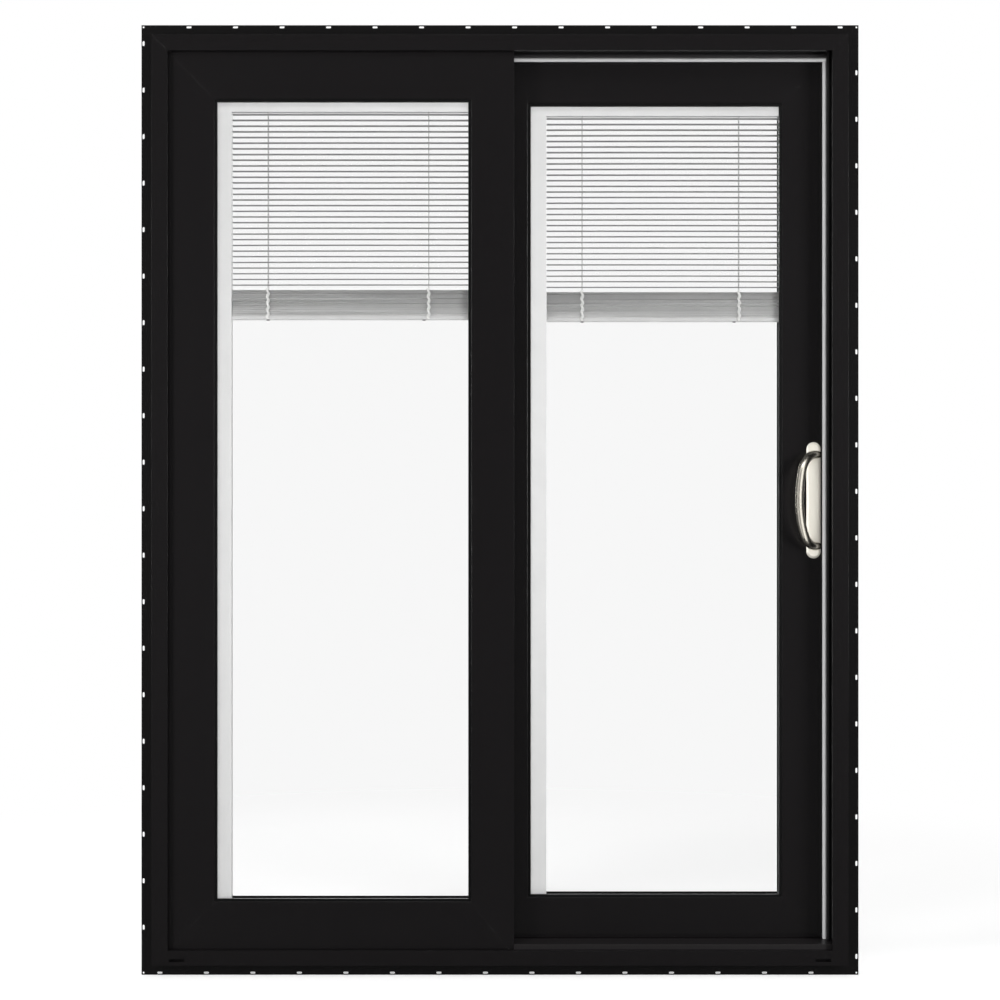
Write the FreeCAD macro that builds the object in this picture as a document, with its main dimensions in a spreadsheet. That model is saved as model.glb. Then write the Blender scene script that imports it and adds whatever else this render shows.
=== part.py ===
import FreeCAD, Part
import math
import os
import re
import Sketcher

# A glass sliding patio door with blinds between its panes, seen from outside.
# X runs to the right, Y into the room, Z up. Y = 0 is the back of the nailing fin, where it
# lies on the wall, Z = 0 is the underside of the sill and X = 0 is the middle of the door.

doc = FreeCAD.newDocument("patio_door")
sheet = doc.addObject("Spreadsheet::Sheet", "sizes")

SIZES = [
    ("unit_wide", 1511.3, "frame, side to side"),
    ("unit_high", 2019.3, "frame, sill to head"),
    ("front_deep", 32.0, "frame that stands out in front of the wall"),
    ("back_deep", 84.0, "frame that runs back into the wall"),
    ("lip_wide", 34.8, "face of the frame round the panels"),
    ("wall_thick", 14.0, "frame behind its pockets"),
    ("outer_lip_deep", 11.7, "front lip of the frame"),
    ("inner_lip_deep", 16.0, "room side lip of the frame"),
    ("divider_deep", 5.2, "leg between the two tracks"),
    ("divider_short", 0.8, "how much shorter the divider is than the lips"),
    ("fin_wide", 27.4, "nailing fin"),
    ("fin_thick", 1.6, "nailing fin"),
    ("slot_long", 11.0, "nail slot, end to end"),
    ("slot_wide", 4.4, "nail slot"),
    ("slot_in", 4.5, "middle of a slot from the edge of the fin"),
    ("slot_pitch", 101.6, "from one nail slot to the next"),
    ("slot_first", 103.7, "first slot from the corner where a row starts"),
    ("slot_last", 39.0, "least distance from the last slot to the far corner"),
    ("corner_hole", 4.0, "round hole at each corner of the fin"),
    ("sill_floor", 18.0, "bottom of the sill troughs"),
    ("sill_lip", 32.5, "front lip of the sill"),
    ("sill_divider", 37.5, "leg between the sill troughs"),
    ("sill_dam", 58.0, "room side leg of the sill"),
    ("weep_long", 33.0, "drain slot in the sill face"),
    ("weep_high", 7.0, "drain slot in the sill face"),
    ("weep_up", 11.4, "middle of the drain slot above the underside"),
    ("weep_in", 3.3, "drain slot from the corner of the opening"),
    ("rail_thick", 3.0, "track rail"),
    ("rail_foot", 16.0, "foot of the track rail"),
    ("rail_top", 36.0, "top of the track rail above the underside"),
    ("insert_front", 43.9, "front edge of the sill cover"),
    ("insert_back", 47.5, "back edge of the sill cover"),
    ("seal_reach", 41.6, "how far the seal carriers stand in from the frame's edge"),
    ("seal_wide", 7.6, "bulb of the weatherstrip"),
    ("seal_tongue", 3.0, "tongue that holds the bulb in its carrier"),
    ("carrier_web", 6.0, "web of the seal carrier"),
    ("carrier_leg", 5.0, "leg of the seal carrier"),
    ("carrier_reach", 2.0, "leg of the seal carrier in front of the wall"),
    ("seat", 0.3, "small gap between pieces that sit together"),
    ("panel_thick", 38.0, "both glazed panels"),
    ("fixed_face", 20.0, "face of the fixed panel in front of the wall"),
    ("panel_gap", 6.0, "between the two panels"),
    ("member_wide", 99.7, "stiles and rails of the panels"),
    ("fixed_bite", 13.5, "fixed panel behind the lip of the frame"),
    ("slide_bite", 11.5, "lock stile in the pocket of the jamb"),
    ("slide_head_bite", 9.5, "top rail in the pocket of the head"),
    ("slide_bottom", 44.0, "underside of the sliding panel"),
    ("rebate_deep", 6.0, "step in the edge of the sliding panel"),
    ("rebate_wide", 16.0, "step in the edge of the sliding panel, at the side"),
    ("rebate_high", 14.0, "step in the edge of the sliding panel, at the top"),
    ("fixed_stile_shows", 105.85, "outer stile of the fixed panel beside the frame's lip"),
    ("lock_stile_shows", 107.35, "lock stile inward from the frame's lip"),
    ("top_rail_shows", 109.2, "top rails below the frame's lip"),
    ("glass_up", 142.3, "lower edge of the glass that shows"),
    ("fixed_glass_edge", -69.0, "inner edge of the left glass from the middle"),
    ("slide_glass_edge", 67.5, "inner edge of the right glass from the middle"),
    ("pane_thick", 3.0, "one sheet of glass"),
    ("unit_glass_thick", 25.4, "two panes and the space between"),
    ("glass_bite", 12.0, "glass behind the edge of the panel"),
    ("spacer_wide", 8.0, "bar between the panes"),
    ("gasket_wide", 5.0, "rubber round the glass"),
    ("gasket_deep", 3.8, "rubber in front of the glass"),
    ("bead_wide", 14.0, "strip that holds the glass on the room side"),
    ("bead_slope", 4.5, "slope of that strip down to the glass"),
    ("blind_deep", 14.6, "slats and blind head, front to back"),
    ("blind_head_low", 19.3, "blind head below the edge of the glass that shows"),
    ("fixed_channel", 29.9, "side channel of the left blind that shows"),
    ("slide_channel", 34.7, "side channel of the right blind that shows"),
    ("slat_pitch", 12.4, "from one slat to the next"),
    ("slat_count", 31, "slats that hang free"),
    ("slat_thick", 0.6, "one slat"),
    ("slat_crown", 2.0, "rise of a slat in its middle"),
    ("slat_first", 5.6, "first slat below the blind head"),
    ("slat_play", 1.0, "slats clear of what stands beside them"),
    ("stack_gap", 9.0, "last free slat to the top of the gathered slats"),
    ("stack_high", 58.0, "gathered slats"),
    ("fold_in", 0.9, "how far the gathered slats step in and out"),
    ("bottom_rail_high", 8.0, "bottom rail of the blind"),
    ("cord_in_left", 78.0, "ladder cord from the left ends of the slats"),
    ("cord_in_right", 89.5, "ladder cord from the right ends of the slats"),
    ("cord_thick", 0.8, "one string of a ladder cord"),
    ("handle_in", 31.95, "middle of the handle plates inward from the frame's lip"),
    ("handle_up", 1009.0, "middle of the handle plates above the underside"),
    ("plate_wide", 30.9, "handle plate"),
    ("plate_long", 255.3, "handle plate"),
    ("plate_thick", 4.0, "handle plate"),
    ("plate_bevel", 4.2, "sloping rim of the handle plate, across"),
    ("plate_bevel_deep", 2.4, "sloping rim of the handle plate, in depth"),
    ("pull_span", 201.0, "between the middles of the pull's two feet"),
    ("pull_out", 45.0, "middle of the grip in front of the plate"),
    ("pull_side", 42.7, "middle of the grip to the side of the feet"),
    ("pull_bar", 19.0, "round bar of the pull"),
    ("pull_foot", 1.0, "straight length where the bar leaves the plate"),
    ("pull_bend_high", 54.0, "bend beside the upper foot"),
    ("pull_bend_low", 47.0, "bend beside the lower foot"),
    ("foot_in", 4.0, "feet of the pull from the middle of the plate, away from the grip"),
    ("latch_long", 36.0, "lever of the thumb latch"),
    ("latch_wide", 5.0, "lever of the thumb latch"),
    ("latch_out", 14.0, "lever of the thumb latch, out from the plate"),
    ("latch_in", 9.5, "lever of the thumb latch from the middle of the plate"),
    ("keeper_long", 140.0, "strike plate in the jamb"),
    ("keeper_wide", 26.0, "strike plate in the jamb"),
    ("keeper_thick", 2.0, "strike plate in the jamb"),
    ("hook_long", 44.0, "slot that takes the hook of the lock"),
    ("hook_wide", 10.0, "slot that takes the hook of the lock"),
    ("faceplate_long", 200.0, "plate of the lock on the edge of the stile"),
    ("faceplate_wide", 20.0, "plate of the lock on the edge of the stile"),
    ("faceplate_thick", 1.2, "plate of the lock on the edge of the stile"),
    ("slider_wide", 18.0, "knob that works the blind through the glass"),
    ("slider_high", 60.0, "knob that works the blind through the glass"),
    ("slider_deep", 9.0, "knob that works the blind through the glass"),
    ("slider_waist", 4.0, "finger hollow in each side of the knob"),
    ("edge_bevel", 2.0, "bevel of the panels beside the glass"),
    ("roller_r", 12.0, "wheel under the sliding panel"),
    ("roller_wide", 6.0, "wheel under the sliding panel"),
    ("roller_in", 110.0, "wheels from the ends of the sliding panel"),
    ("axle_r", 3.0, "axle of a wheel"),
    ("housing_long", 64.0, "steel case round a wheel"),
    ("housing_wide", 14.0, "steel case round a wheel"),
    ("housing_sheet", 2.0, "steel of the case round a wheel"),
]

ALIASES = {alias for alias, value, what in SIZES}
for row, (alias, value, what) in enumerate(SIZES, start=1):
    sheet.set("A" + str(row), what)
    sheet.set("B" + str(row), str(value))
    sheet.setAlias("B" + str(row), alias)
doc.recompute()


def formula(text):
    """Turns plain size names into references to the sheet."""
    return re.sub(r"[a-z][a-z_]*", lambda m: "sizes." + m[0] if m[0] in ALIASES else m[0], str(text))


def bind(thing, prop, text):
    thing.setExpression(prop, formula(text))


def worth(text):
    """What a formula comes to with the sizes as they are."""
    return float(sheet.evalExpression(formula(text)))


def new_body(name):
    body = doc.addObject("PartDesign::Body", name)
    body.Label = name
    return body


def new_sketch(body, plane, start):
    """An empty sketch on one of the body's own planes, moved to start along the plane's axis."""
    sketch = body.newObject("Sketcher::SketchObject", body.Name + "_sketch")
    role = plane + "_Plane"
    base = next(f for f in body.Origin.OriginFeatures if f.Role == role)
    sketch.AttachmentSupport = [(base, "")]
    sketch.MapMode = "FlatFace"
    sign = "-1" if plane == "XZ" else "1"
    bind(sketch, ".AttachmentOffset.Base.z", f"{sign} * ({start}) * 1 mm")
    return sketch


def pin(sketch, geometry, point, across, up):
    """Fixes one point of a sketch at a place given by two formulas."""
    for kind, text in (("DistanceX", across), ("DistanceY", up)):
        number = sketch.addConstraint(Sketcher.Constraint(kind, -1, 1, geometry, point, worth(text)))
        bind(sketch, f"Constraints[{number}]", f"({text}) * 1 mm")


def at(across, up):
    return FreeCAD.Vector(worth(across), worth(up), 0)


def arc(sketch, across, up, radius, start, end):
    """Draws an arc about a middle given by two formulas, and binds its radius."""
    whole = Part.Circle(at(across, up), FreeCAD.Vector(0, 0, 1), worth(radius))
    number = sketch.addGeometry(Part.ArcOfCircle(whole, start, end), False)
    limit = sketch.addConstraint(Sketcher.Constraint("Radius", number, worth(radius)))
    bind(sketch, f"Constraints[{limit}]", f"({radius}) * 1 mm")
    return number


def draw_polygon(sketch, points):
    count = len(points)
    first = sketch.GeometryCount
    corners = [at(across, up) for across, up in points]
    for k in range(count):
        sketch.addGeometry(Part.LineSegment(corners[k], corners[(k + 1) % count]), False)
    for k in range(count):
        after = first + (k + 1) % count
        sketch.addConstraint(Sketcher.Constraint("Coincident", first + k, 2, after, 1))
    for k, (across, up) in enumerate(points):
        pin(sketch, first + k, 1, across, up)


def draw_circle(sketch, across, up, radius):
    number = sketch.addGeometry(Part.Circle(at(across, up), FreeCAD.Vector(0, 0, 1), worth(radius)), False)
    pin(sketch, number, 3, across, up)
    limit = sketch.addConstraint(Sketcher.Constraint("Radius", number, worth(radius)))
    bind(sketch, f"Constraints[{limit}]", f"({radius}) * 1 mm")


def draw_slot(sketch, across, up, long, wide, upright):
    """A slot with round ends, along the sketch's first axis or upright."""
    half = f"((({long}) - ({wide})) / 2)"
    radius = f"(({wide}) / 2)"
    turn = math.pi / 2 if upright else 0
    ends = []
    for side, start in (("-", math.pi / 2), ("+", -math.pi / 2)):
        middle = (across, f"({up}) {side} {half}") if upright else (f"({across}) {side} {half}", up)
        ends.append(arc(sketch, *middle, radius, start + turn, start + turn + math.pi))
        pin(sketch, ends[-1], 3, *middle)
    low, high = ends
    for one, other in ((low, high), (high, low)):
        side = Part.LineSegment(sketch.getPoint(one, 2), sketch.getPoint(other, 1))
        edge = sketch.addGeometry(side, False)
        sketch.addConstraint(Sketcher.Constraint("Coincident", edge, 1, one, 2))
        sketch.addConstraint(Sketcher.Constraint("Coincident", edge, 2, other, 1))
    for end in ends:
        for point in (1, 2):
            kind = "DistanceY" if upright else "DistanceX"
            sketch.addConstraint(Sketcher.Constraint(kind, end, 3, end, point, 0.0))


def draw_slat(sketch, low, high, level, crown, thick):
    """A thin strip seen from its end: two equal arcs, one above the other, joined by short edges."""
    half = f"((({high}) - ({low})) / 2)"
    radius = f"(({half} * {half} + {crown} * {crown}) / (2 * {crown}))"
    lean = math.asin(worth(half) / worth(radius))
    arcs = []
    for base in (level, f"{level} + {thick}"):
        middle = (f"(({low}) + ({high})) / 2", f"{base} + {crown} - {radius}")
        arcs.append(arc(sketch, *middle, radius, math.pi / 2 - lean, math.pi / 2 + lean))
        pin(sketch, arcs[-1], 1, high, base)
        pin(sketch, arcs[-1], 2, low, base)
    under, over = arcs
    for point in (1, 2):
        side = Part.LineSegment(sketch.getPoint(under, point), sketch.getPoint(over, point))
        edge = sketch.addGeometry(side, False)
        sketch.addConstraint(Sketcher.Constraint("Coincident", edge, 1, under, point))
        sketch.addConstraint(Sketcher.Constraint("Coincident", edge, 2, over, point))


def pad(body, plane, start, length, *loops, drawn=None):
    """Adds material from start along the plane's axis. Each loop is a list of corner formulas."""
    sketch = new_sketch(body, plane, start)
    for loop in loops:
        draw_polygon(sketch, loop)
    if drawn:
        drawn(sketch)
    feature = body.newObject("PartDesign::Pad", body.Name + "_pad")
    feature.Profile = sketch
    feature.Reversed = plane == "XZ"
    bind(feature, "Length", f"({length}) * 1 mm")
    body.Tip = feature
    return feature


def cut(body, plane, start, length, *loops, drawn=None, taper=0.0, backwards=False):
    """Takes material away from start along the plane's axis or against it, with a draft angle if given."""
    sketch = new_sketch(body, plane, start)
    for loop in loops:
        draw_polygon(sketch, loop)
    if drawn:
        drawn(sketch)
    doc.recompute()
    before = body.Shape.Volume
    feature = body.newObject("PartDesign::Pocket", body.Name + "_pocket")
    feature.Profile = sketch
    feature.Reversed = (plane != "XZ") != backwards
    feature.TaperAngle = taper
    bind(feature, "Length", f"({length}) * 1 mm")
    body.Tip = feature
    doc.recompute()
    if body.Shape.Volume > before - 1e-3:
        raise RuntimeError(f"a cut in {body.Label} takes nothing away")
    return feature


def row_of(body, feature, plane, axis, count, pitch, back=False):
    """Repeats the last feature along an axis of the sketch."""
    pattern = body.newObject("PartDesign::LinearPattern", body.Name + "_row")
    pattern.Originals = [feature]
    pattern.Direction = (feature.Profile[0], [axis])
    pattern.Mode = "Spacing"
    pattern.Reversed = back
    bind(pattern, "Offset", f"({pitch}) * 1 mm")
    bind(pattern, "Occurrences", count)
    body.Tip = pattern


def flat_at(edge, level):
    """True for an edge that lies wholly in one plane across Y."""
    bounds = edge.BoundBox
    return abs(bounds.YMin - level) < 1e-3 and abs(bounds.YMax - level) < 1e-3


def bevel(body, level, across, deep):
    """Slopes the rim of the flat face that lies at one level of Y."""
    base = body.Tip
    names = [f"Edge{k}" for k, edge in enumerate(base.Shape.Edges, start=1) if flat_at(edge, level)]
    if not names:
        raise RuntimeError(f"no edge of {body.Label} to bevel")
    feature = body.newObject("PartDesign::Chamfer", body.Name + "_bevel")
    feature.Base = (base, names)
    feature.ChamferType = "Two distances"
    feature.FlipDirection = True
    bind(feature, "Size", f"({across}) * 1 mm")
    bind(feature, "Size2", f"({deep}) * 1 mm")
    body.Tip = feature
    doc.recompute()


def box(x0, x1, z0, z1):
    """Corner formulas of a rectangle."""
    return [(x0, z0), (x1, z0), (x1, z1), (x0, z1)]


NODES = {}


def node(name, thing):
    thing.Label = name
    NODES[name] = thing


def block(name, plane, start, length, *loops):
    body = new_body(name)
    pad(body, plane, start, length, *loops)
    node(name, body)
    return body


HALF = "unit_wide / 2"
SIDE = f"({HALF} - lip_wide)"
TOP = "(unit_high - lip_wide)"
FLOOR_X = f"({HALF} - wall_thick)"
FLOOR_Z = "(unit_high - wall_thick)"
FIXED_BACK = "(panel_thick - fixed_face)"
SLIDE_FACE = f"({FIXED_BACK} + panel_gap)"
SLIDE_BACK = f"({SLIDE_FACE} + panel_thick)"
GLASS_TOP = f"({TOP} - top_rail_shows)"
HANDLE_X = f"({SIDE} - handle_in)"
DIVIDER = f"({FIXED_BACK} + seat)"

# The frame: head and jambs share one section, with a pocket for each panel.


def frame_section(edge, inward):
    """The section of head and jambs: distance in from the frame's edge, and depth."""
    lip = "lip_wide"
    leg = "lip_wide - divider_short"
    shape = [
        ("0", "-front_deep"), (lip, "-front_deep"),
        (lip, "-front_deep + outer_lip_deep"), ("wall_thick", "-front_deep + outer_lip_deep"),
        ("wall_thick", DIVIDER), (leg, DIVIDER),
        (leg, f"{DIVIDER} + divider_deep"), ("wall_thick", f"{DIVIDER} + divider_deep"),
        ("wall_thick", "back_deep - inner_lip_deep"), (lip, "back_deep - inner_lip_deep"),
        (lip, "back_deep"), ("0", "back_deep"),
    ]
    return [(f"{edge} {inward} ({across})", deep) for across, deep in shape]


DEPTH = "front_deep + back_deep"

head = new_body("frame_head")
section = [(deep, up) for up, deep in frame_section("unit_high", "-")]
pad(head, "YZ", f"-{HALF}", "unit_wide", section)
for side in ("-", ""):
    cut(head, "XZ", "-front_deep - 1", f"{DEPTH} + 2",
        [(f"{side}1 * {HALF}", "unit_high"), (f"{side}1 * {HALF}", "unit_high - lip_wide - 1"),
         (f"{side}1 * ({HALF} - lip_wide - 1)", "unit_high - lip_wide - 1")])
node("frame_head", head)

sill = new_body("frame_sill")
pad(sill, "YZ", f"-{HALF}", "unit_wide", [
    ("-front_deep", "0"), ("back_deep", "0"), ("back_deep", "sill_dam"),
    ("back_deep - inner_lip_deep", "sill_dam"), ("back_deep - inner_lip_deep", "sill_floor"),
    (f"{DIVIDER} + divider_deep", "sill_floor"), (f"{DIVIDER} + divider_deep", "sill_divider"),
    (DIVIDER, "sill_divider"), (DIVIDER, "sill_floor"),
    ("-front_deep + outer_lip_deep", "sill_floor"), ("-front_deep + outer_lip_deep", "sill_lip"),
    ("-front_deep", "sill_lip"),
])
for side in ("-", ""):
    inner = f"{side}1 * ({SIDE} - weep_in)"
    outer = f"{side}1 * ({SIDE} - weep_in - weep_long)"
    cut(sill, "XZ", "-front_deep - 1", "outer_lip_deep",
        box(inner, outer, "weep_up - weep_high / 2", "weep_up + weep_high / 2"))
node("frame_sill", sill)

for name, side in (("frame_jamb_left", "-1"), ("frame_jamb_right", "1")):
    jamb = new_body(name + "_length")
    pad(jamb, "XY", "0", "unit_high",
        [(f"{side} * ({across})", deep) for across, deep in frame_section(HALF, "-")])
    cut(jamb, "XZ", "-front_deep - 1", f"{DEPTH} + 2",
        [(f"{side} * ({HALF} + 1)", "unit_high + 1"), (f"{side} * ({HALF} - lip_wide - 1)", "unit_high + 1"),
         (f"{side} * ({HALF} - lip_wide - 1)", "unit_high - lip_wide - 1")])
    coped = doc.addObject("Part::Cut", name)
    coped.Base = jamb
    coped.Tool = sill
    node(name, coped)

# The nailing fin: four strips with slots that start afresh at each corner, going round.
FIN_X = f"({HALF} + fin_wide)"
FIN_TOP = "(unit_high + fin_wide)"
ROW_WIDE = "floor((unit_wide + 2 * fin_wide - slot_first - slot_last) / slot_pitch) + 1"
ROW_HIGH = "floor((unit_high + 2 * fin_wide - slot_first - slot_last) / slot_pitch) + 1"
FINS = [
    ("nail_fin_top", box(f"-{HALF}", HALF, "unit_high", FIN_TOP),
     f"-{FIN_X} + slot_first", f"{FIN_TOP} - slot_in", False, ROW_WIDE, False),
    ("nail_fin_bottom", box(f"-{HALF}", HALF, "-fin_wide", "0"),
     f"{FIN_X} - slot_first", "-fin_wide + slot_in", False, ROW_WIDE, True),
    ("nail_fin_left", box(f"-{FIN_X}", f"-{HALF}", "-fin_wide", FIN_TOP),
     f"-{FIN_X} + slot_in", "-fin_wide + slot_first", True, ROW_HIGH, False),
    ("nail_fin_right", box(HALF, FIN_X, "-fin_wide", FIN_TOP),
     f"{FIN_X} - slot_in", f"{FIN_TOP} - slot_first", True, ROW_HIGH, True),
]
for name, outline, across, up, upright, count, back in FINS:
    fin = block(name, "XZ", "-fin_thick", "fin_thick", outline)

    def holes(sketch, across=across, up=up, upright=upright):
        draw_slot(sketch, across, up, "slot_long", "slot_wide", upright)

    first = cut(fin, "XZ", "-fin_thick - 1", "fin_thick + 2", drawn=holes)
    row_of(fin, first, "XZ", "V_Axis" if upright else "H_Axis", count, "slot_pitch", back)
    if upright:
        def corners(sketch, across=across):
            for height in ("-fin_wide + slot_in", f"{FIN_TOP} - slot_in"):
                draw_circle(sketch, across, height, "corner_hole / 2")

        cut(fin, "XZ", "-fin_thick - 1", "fin_thick + 2", drawn=corners)

# The sill: an aluminium rail for the rollers, and a cover in the empty half of the outer trough.
TRACK = f"({SLIDE_FACE} + panel_thick / 2)"
FOOT_TOP = "sill_floor + rail_thick"
block("sill_track_rail", "YZ", f"-{FLOOR_X} + seat", f"2 * ({FLOOR_X} - seat)", [
    (f"{TRACK} - rail_foot / 2", "sill_floor"), (f"{TRACK} + rail_foot / 2", "sill_floor"),
    (f"{TRACK} + rail_foot / 2", FOOT_TOP), (f"{TRACK} + rail_thick / 2", FOOT_TOP),
    (f"{TRACK} + rail_thick / 2", "rail_top"), (f"{TRACK} - rail_thick / 2", "rail_top"),
    (f"{TRACK} - rail_thick / 2", FOOT_TOP), (f"{TRACK} - rail_foot / 2", FOOT_TOP),
])
FIXED_END = "(fixed_glass_edge + member_wide)"
COVER_FROM = f"{FIXED_END} + seat"
block("sill_insert", "YZ", COVER_FROM, f"{FLOOR_X} - seat - ({COVER_FROM})", [
    ("-fixed_face", "sill_floor"), (FIXED_BACK, "sill_floor"),
    (FIXED_BACK, "insert_back"), ("-fixed_face", "insert_front"),
])

# Seal carriers in the empty half of the outer pocket, and the grey weatherstrip on their edges.
SEAL_X = f"({HALF} - seal_reach)"
SEAL_Z = "(unit_high - seal_reach)"
WEB = f"{FIXED_BACK} - carrier_web"


def carrier(edge, floor):
    """The section of a seal carrier: a web against the divider, and a leg that stands forward."""
    return [
        (floor, WEB), (floor, FIXED_BACK), (edge, FIXED_BACK), (edge, "-carrier_reach"),
        (f"{edge} + carrier_leg", "-carrier_reach"), (f"{edge} + carrier_leg", WEB),
    ]


STRIP_FROM = "insert_back + seat"
HEAD_SPAN = f"{SEAL_X} - seat - ({COVER_FROM})"
block("jamb_seal_carrier", "XY", STRIP_FROM, f"{FLOOR_Z} - seat - ({STRIP_FROM})",
      carrier(SEAL_X, f"{FLOOR_X} - seat"))
block("head_seal_carrier", "YZ", COVER_FROM, HEAD_SPAN,
      [(deep, up) for up, deep in carrier(SEAL_Z, f"{FLOOR_Z} - seat")])
SEAL_Y = f"{FIXED_BACK} - seal_wide / 2"
TONGUE = (f"{SEAL_Y} - seal_tongue / 2", f"{SEAL_Y} + seal_tongue / 2")


def bulb(name, plane, start, length, across, up, tongue):
    """A round bulb of soft seal with the flat tongue that holds it."""
    body = new_body(name)

    def round_part(sketch):
        draw_circle(sketch, across, up, "seal_wide / 2")

    pad(body, plane, start, length, drawn=round_part)
    pad(body, plane, start, length, tongue)
    node(name, body)


bulb("jamb_weatherstrip", "XY", STRIP_FROM, f"{SEAL_Z} - seal_wide - seat - ({STRIP_FROM})",
     f"{SEAL_X} - seal_wide / 2", SEAL_Y, box(f"{SEAL_X} - seal_wide / 4", SEAL_X, *TONGUE))
bulb("head_weatherstrip", "YZ", COVER_FROM, HEAD_SPAN,
     SEAL_Y, f"{SEAL_Z} - seal_wide / 2", box(*TONGUE, f"{SEAL_Z} - seal_wide / 4", SEAL_Z))


def centred(across, up, wide, long):
    """A rectangle round a middle."""
    return box(f"{across} - {wide} / 2", f"{across} + {wide} / 2", f"{up} - {long} / 2", f"{up} + {long} / 2")


HOOK_SLOT = centred(TRACK, "handle_up", "hook_wide", "hook_long")
block("latch_keeper", "YZ", f"{FLOOR_X} - keeper_thick", "keeper_thick",
      centred(TRACK, "handle_up", "keeper_wide", "keeper_long"), HOOK_SLOT)

# One glazed panel. All places along Y are given from the panel's own front face.
BEVEL_TAPER = -45.0
GLASS_DEPTH = "(panel_thick - unit_glass_thick) / 2"


def member(name, face, thick, corners, glass):
    """A mitred stile or rail with the rebates that hold the glass."""
    body = new_body(name)
    pad(body, "XZ", face, thick, corners)
    left, right, low, high = glass

    def grown(by):
        return box(f"{left} - {by}", f"{right} + {by}", f"{low} - {by}", f"{high} + {by}")

    cut(body, "XZ", f"{face} - 1", "unit_glass_thick / 2", grown("(gasket_wide + seat)"))
    cut(body, "XZ", f"{face} + {GLASS_DEPTH} - seat", "panel_thick", grown("(glass_bite + seat)"))
    cut(body, "XZ", f"{face} + {GLASS_DEPTH} + unit_glass_thick", "panel_thick", grown("(bead_wide + seat)"))
    cut(body, "XZ", face, "edge_bevel", grown("(gasket_wide + seat + edge_bevel)"), taper=BEVEL_TAPER)
    node(name, body)
    return body


def mitred(outer, inner):
    """The corner formulas of the left, right, lower and upper piece of a mitred frame."""
    (a0, a1, b0, b1), (c0, c1, d0, d1) = outer, inner
    return {
        "left": [(a0, b0), (c0, d0), (c0, d1), (a0, b1)],
        "right": [(a1, b0), (a1, b1), (c1, d1), (c1, d0)],
        "low": [(a0, b0), (a1, b0), (c1, d0), (c0, d0)],
        "high": [(a0, b1), (c0, d1), (c1, d1), (a1, b1)],
    }


def beads(name, behind, left, right, grown):
    """Four beads that hold the glass from the room side, with a hair's width between their mitres."""
    body = new_body(name)
    pad(body, "XZ", f"{behind} + seat", f"{GLASS_DEPTH} - seat", grown("bead_wide"), grown("0"))
    for edge_x, out in ((left, "-1"), (right, "1")):
        for edge_z, up in (("glass_up", "-1"), (GLASS_TOP, "1")):
            far = "(bead_wide + 1)"
            cut(body, "XZ", behind, "panel_thick", [
                (f"{edge_x} + {out} * {far}", f"{edge_z} + {up} * ({far} - seat)"),
                (f"{edge_x} + {out} * ({far} - seat)", f"{edge_z} + {up} * {far}"),
                (f"{edge_x} - {out}", f"{edge_z} - {up} * (1 - seat)"),
                (f"{edge_x} - {out} * (1 - seat)", f"{edge_z} - {up}"),
            ])
    cut(body, "XZ", f"{behind} + {GLASS_DEPTH}", "bead_slope", grown("bead_slope"),
        taper=BEVEL_TAPER, backwards=True)
    node(name, body)


FOLDS = 12


def gathered(front, top):
    """The outline of the gathered slats seen from their end, stepped like a pleated edge."""
    front_side = []
    back_side = []
    for k in range(FOLDS):
        for part, inset in ((0.15, "0"), (0.85, "0"), (1.0, "fold_in")):
            level = f"{top} - stack_high * {(k + part) / FOLDS}"
            front_side.append((f"{front} + {inset}", level))
            back_side.append((f"{front} + blind_deep - {inset}", level))
    return front_side + back_side[::-1]


def blind(prefix, cavity, cavity_deep, left, right, channel):
    """The raised blind between the panes: head, side channel, free slats, gathered slats, rail and cords."""
    show = "(glass_bite - spacer_wide)"
    head_low = f"({GLASS_TOP} - blind_head_low)"
    front = f"{cavity} + ({cavity_deep} - blind_deep) / 2"
    block(f"{prefix}_blind_head", "XZ", front, "blind_deep",
          box(f"{left} - {show}", f"{right} + {show}", head_low, f"({GLASS_TOP} + {show})"))
    block(f"{prefix}_blind_channel", "XZ", front, "blind_deep",
          box(f"{left} - {show}", f"{left} + {channel}", f"glass_up - {show}", head_low))
    slat_left = f"{left} + {channel} + slat_play"
    slat_right = f"{right} + {show} - slat_play"
    slat_span = f"{slat_right} - ({slat_left})"
    slats = new_body(f"{prefix}_blind_slats")

    def first_slat(sketch):
        level = f"{head_low} - slat_first"
        draw_slat(sketch, front, f"{front} + blind_deep", level, "slat_crown", "slat_thick")

    one = pad(slats, "YZ", slat_left, slat_span, drawn=first_slat)
    row_of(slats, one, "YZ", "V_Axis", "slat_count", "slat_pitch", True)
    node(f"{prefix}_blind_slats", slats)

    stack_top = f"({head_low} - slat_first - slat_pitch * (slat_count - 1) - stack_gap)"
    block(f"{prefix}_blind_stack", "YZ", slat_left, slat_span, gathered(front, stack_top))
    rail_high = f"({stack_top} - stack_high - seat)"
    rail_low = f"({rail_high} - bottom_rail_high)"
    block(f"{prefix}_blind_bottom_rail", "YZ", slat_left, slat_span,
          box(front, f"{front} + blind_deep", rail_low, rail_high))
    # two ladder cords, each with a string before and a string behind the slats
    strings = []
    for across in (f"({slat_left} + cord_in_left)", f"({slat_right} - cord_in_right)"):
        for deep in (f"({front} - cord_thick * 5 / 8)", f"({front} + blind_deep + cord_thick * 5 / 8)"):
            strings.append(centred(across, deep, "cord_thick", "cord_thick"))
    block(f"{prefix}_blind_cords", "XY", rail_low, f"{head_low} - {rail_low}", *strings)
    return rail_high


def blind_knob(name, start, middle, up):
    """The knob on the room side of the glass, with a finger hollow in each side."""
    knob = block(name, "XZ", start, "slider_deep", centred(middle, up, "slider_wide", "slider_high"))
    for side in ("-", "+"):
        edge = f"{middle} {side} slider_wide / 2"
        cut(knob, "XZ", f"{start} - 1", "slider_deep + 2", [
            (f"{edge} {side} 1", f"{up} - slider_high / 4"),
            (f"{edge} {side} 1", f"{up} + slider_high / 4"),
            (f"{edge} {side} -slider_waist", up),
        ])


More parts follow.
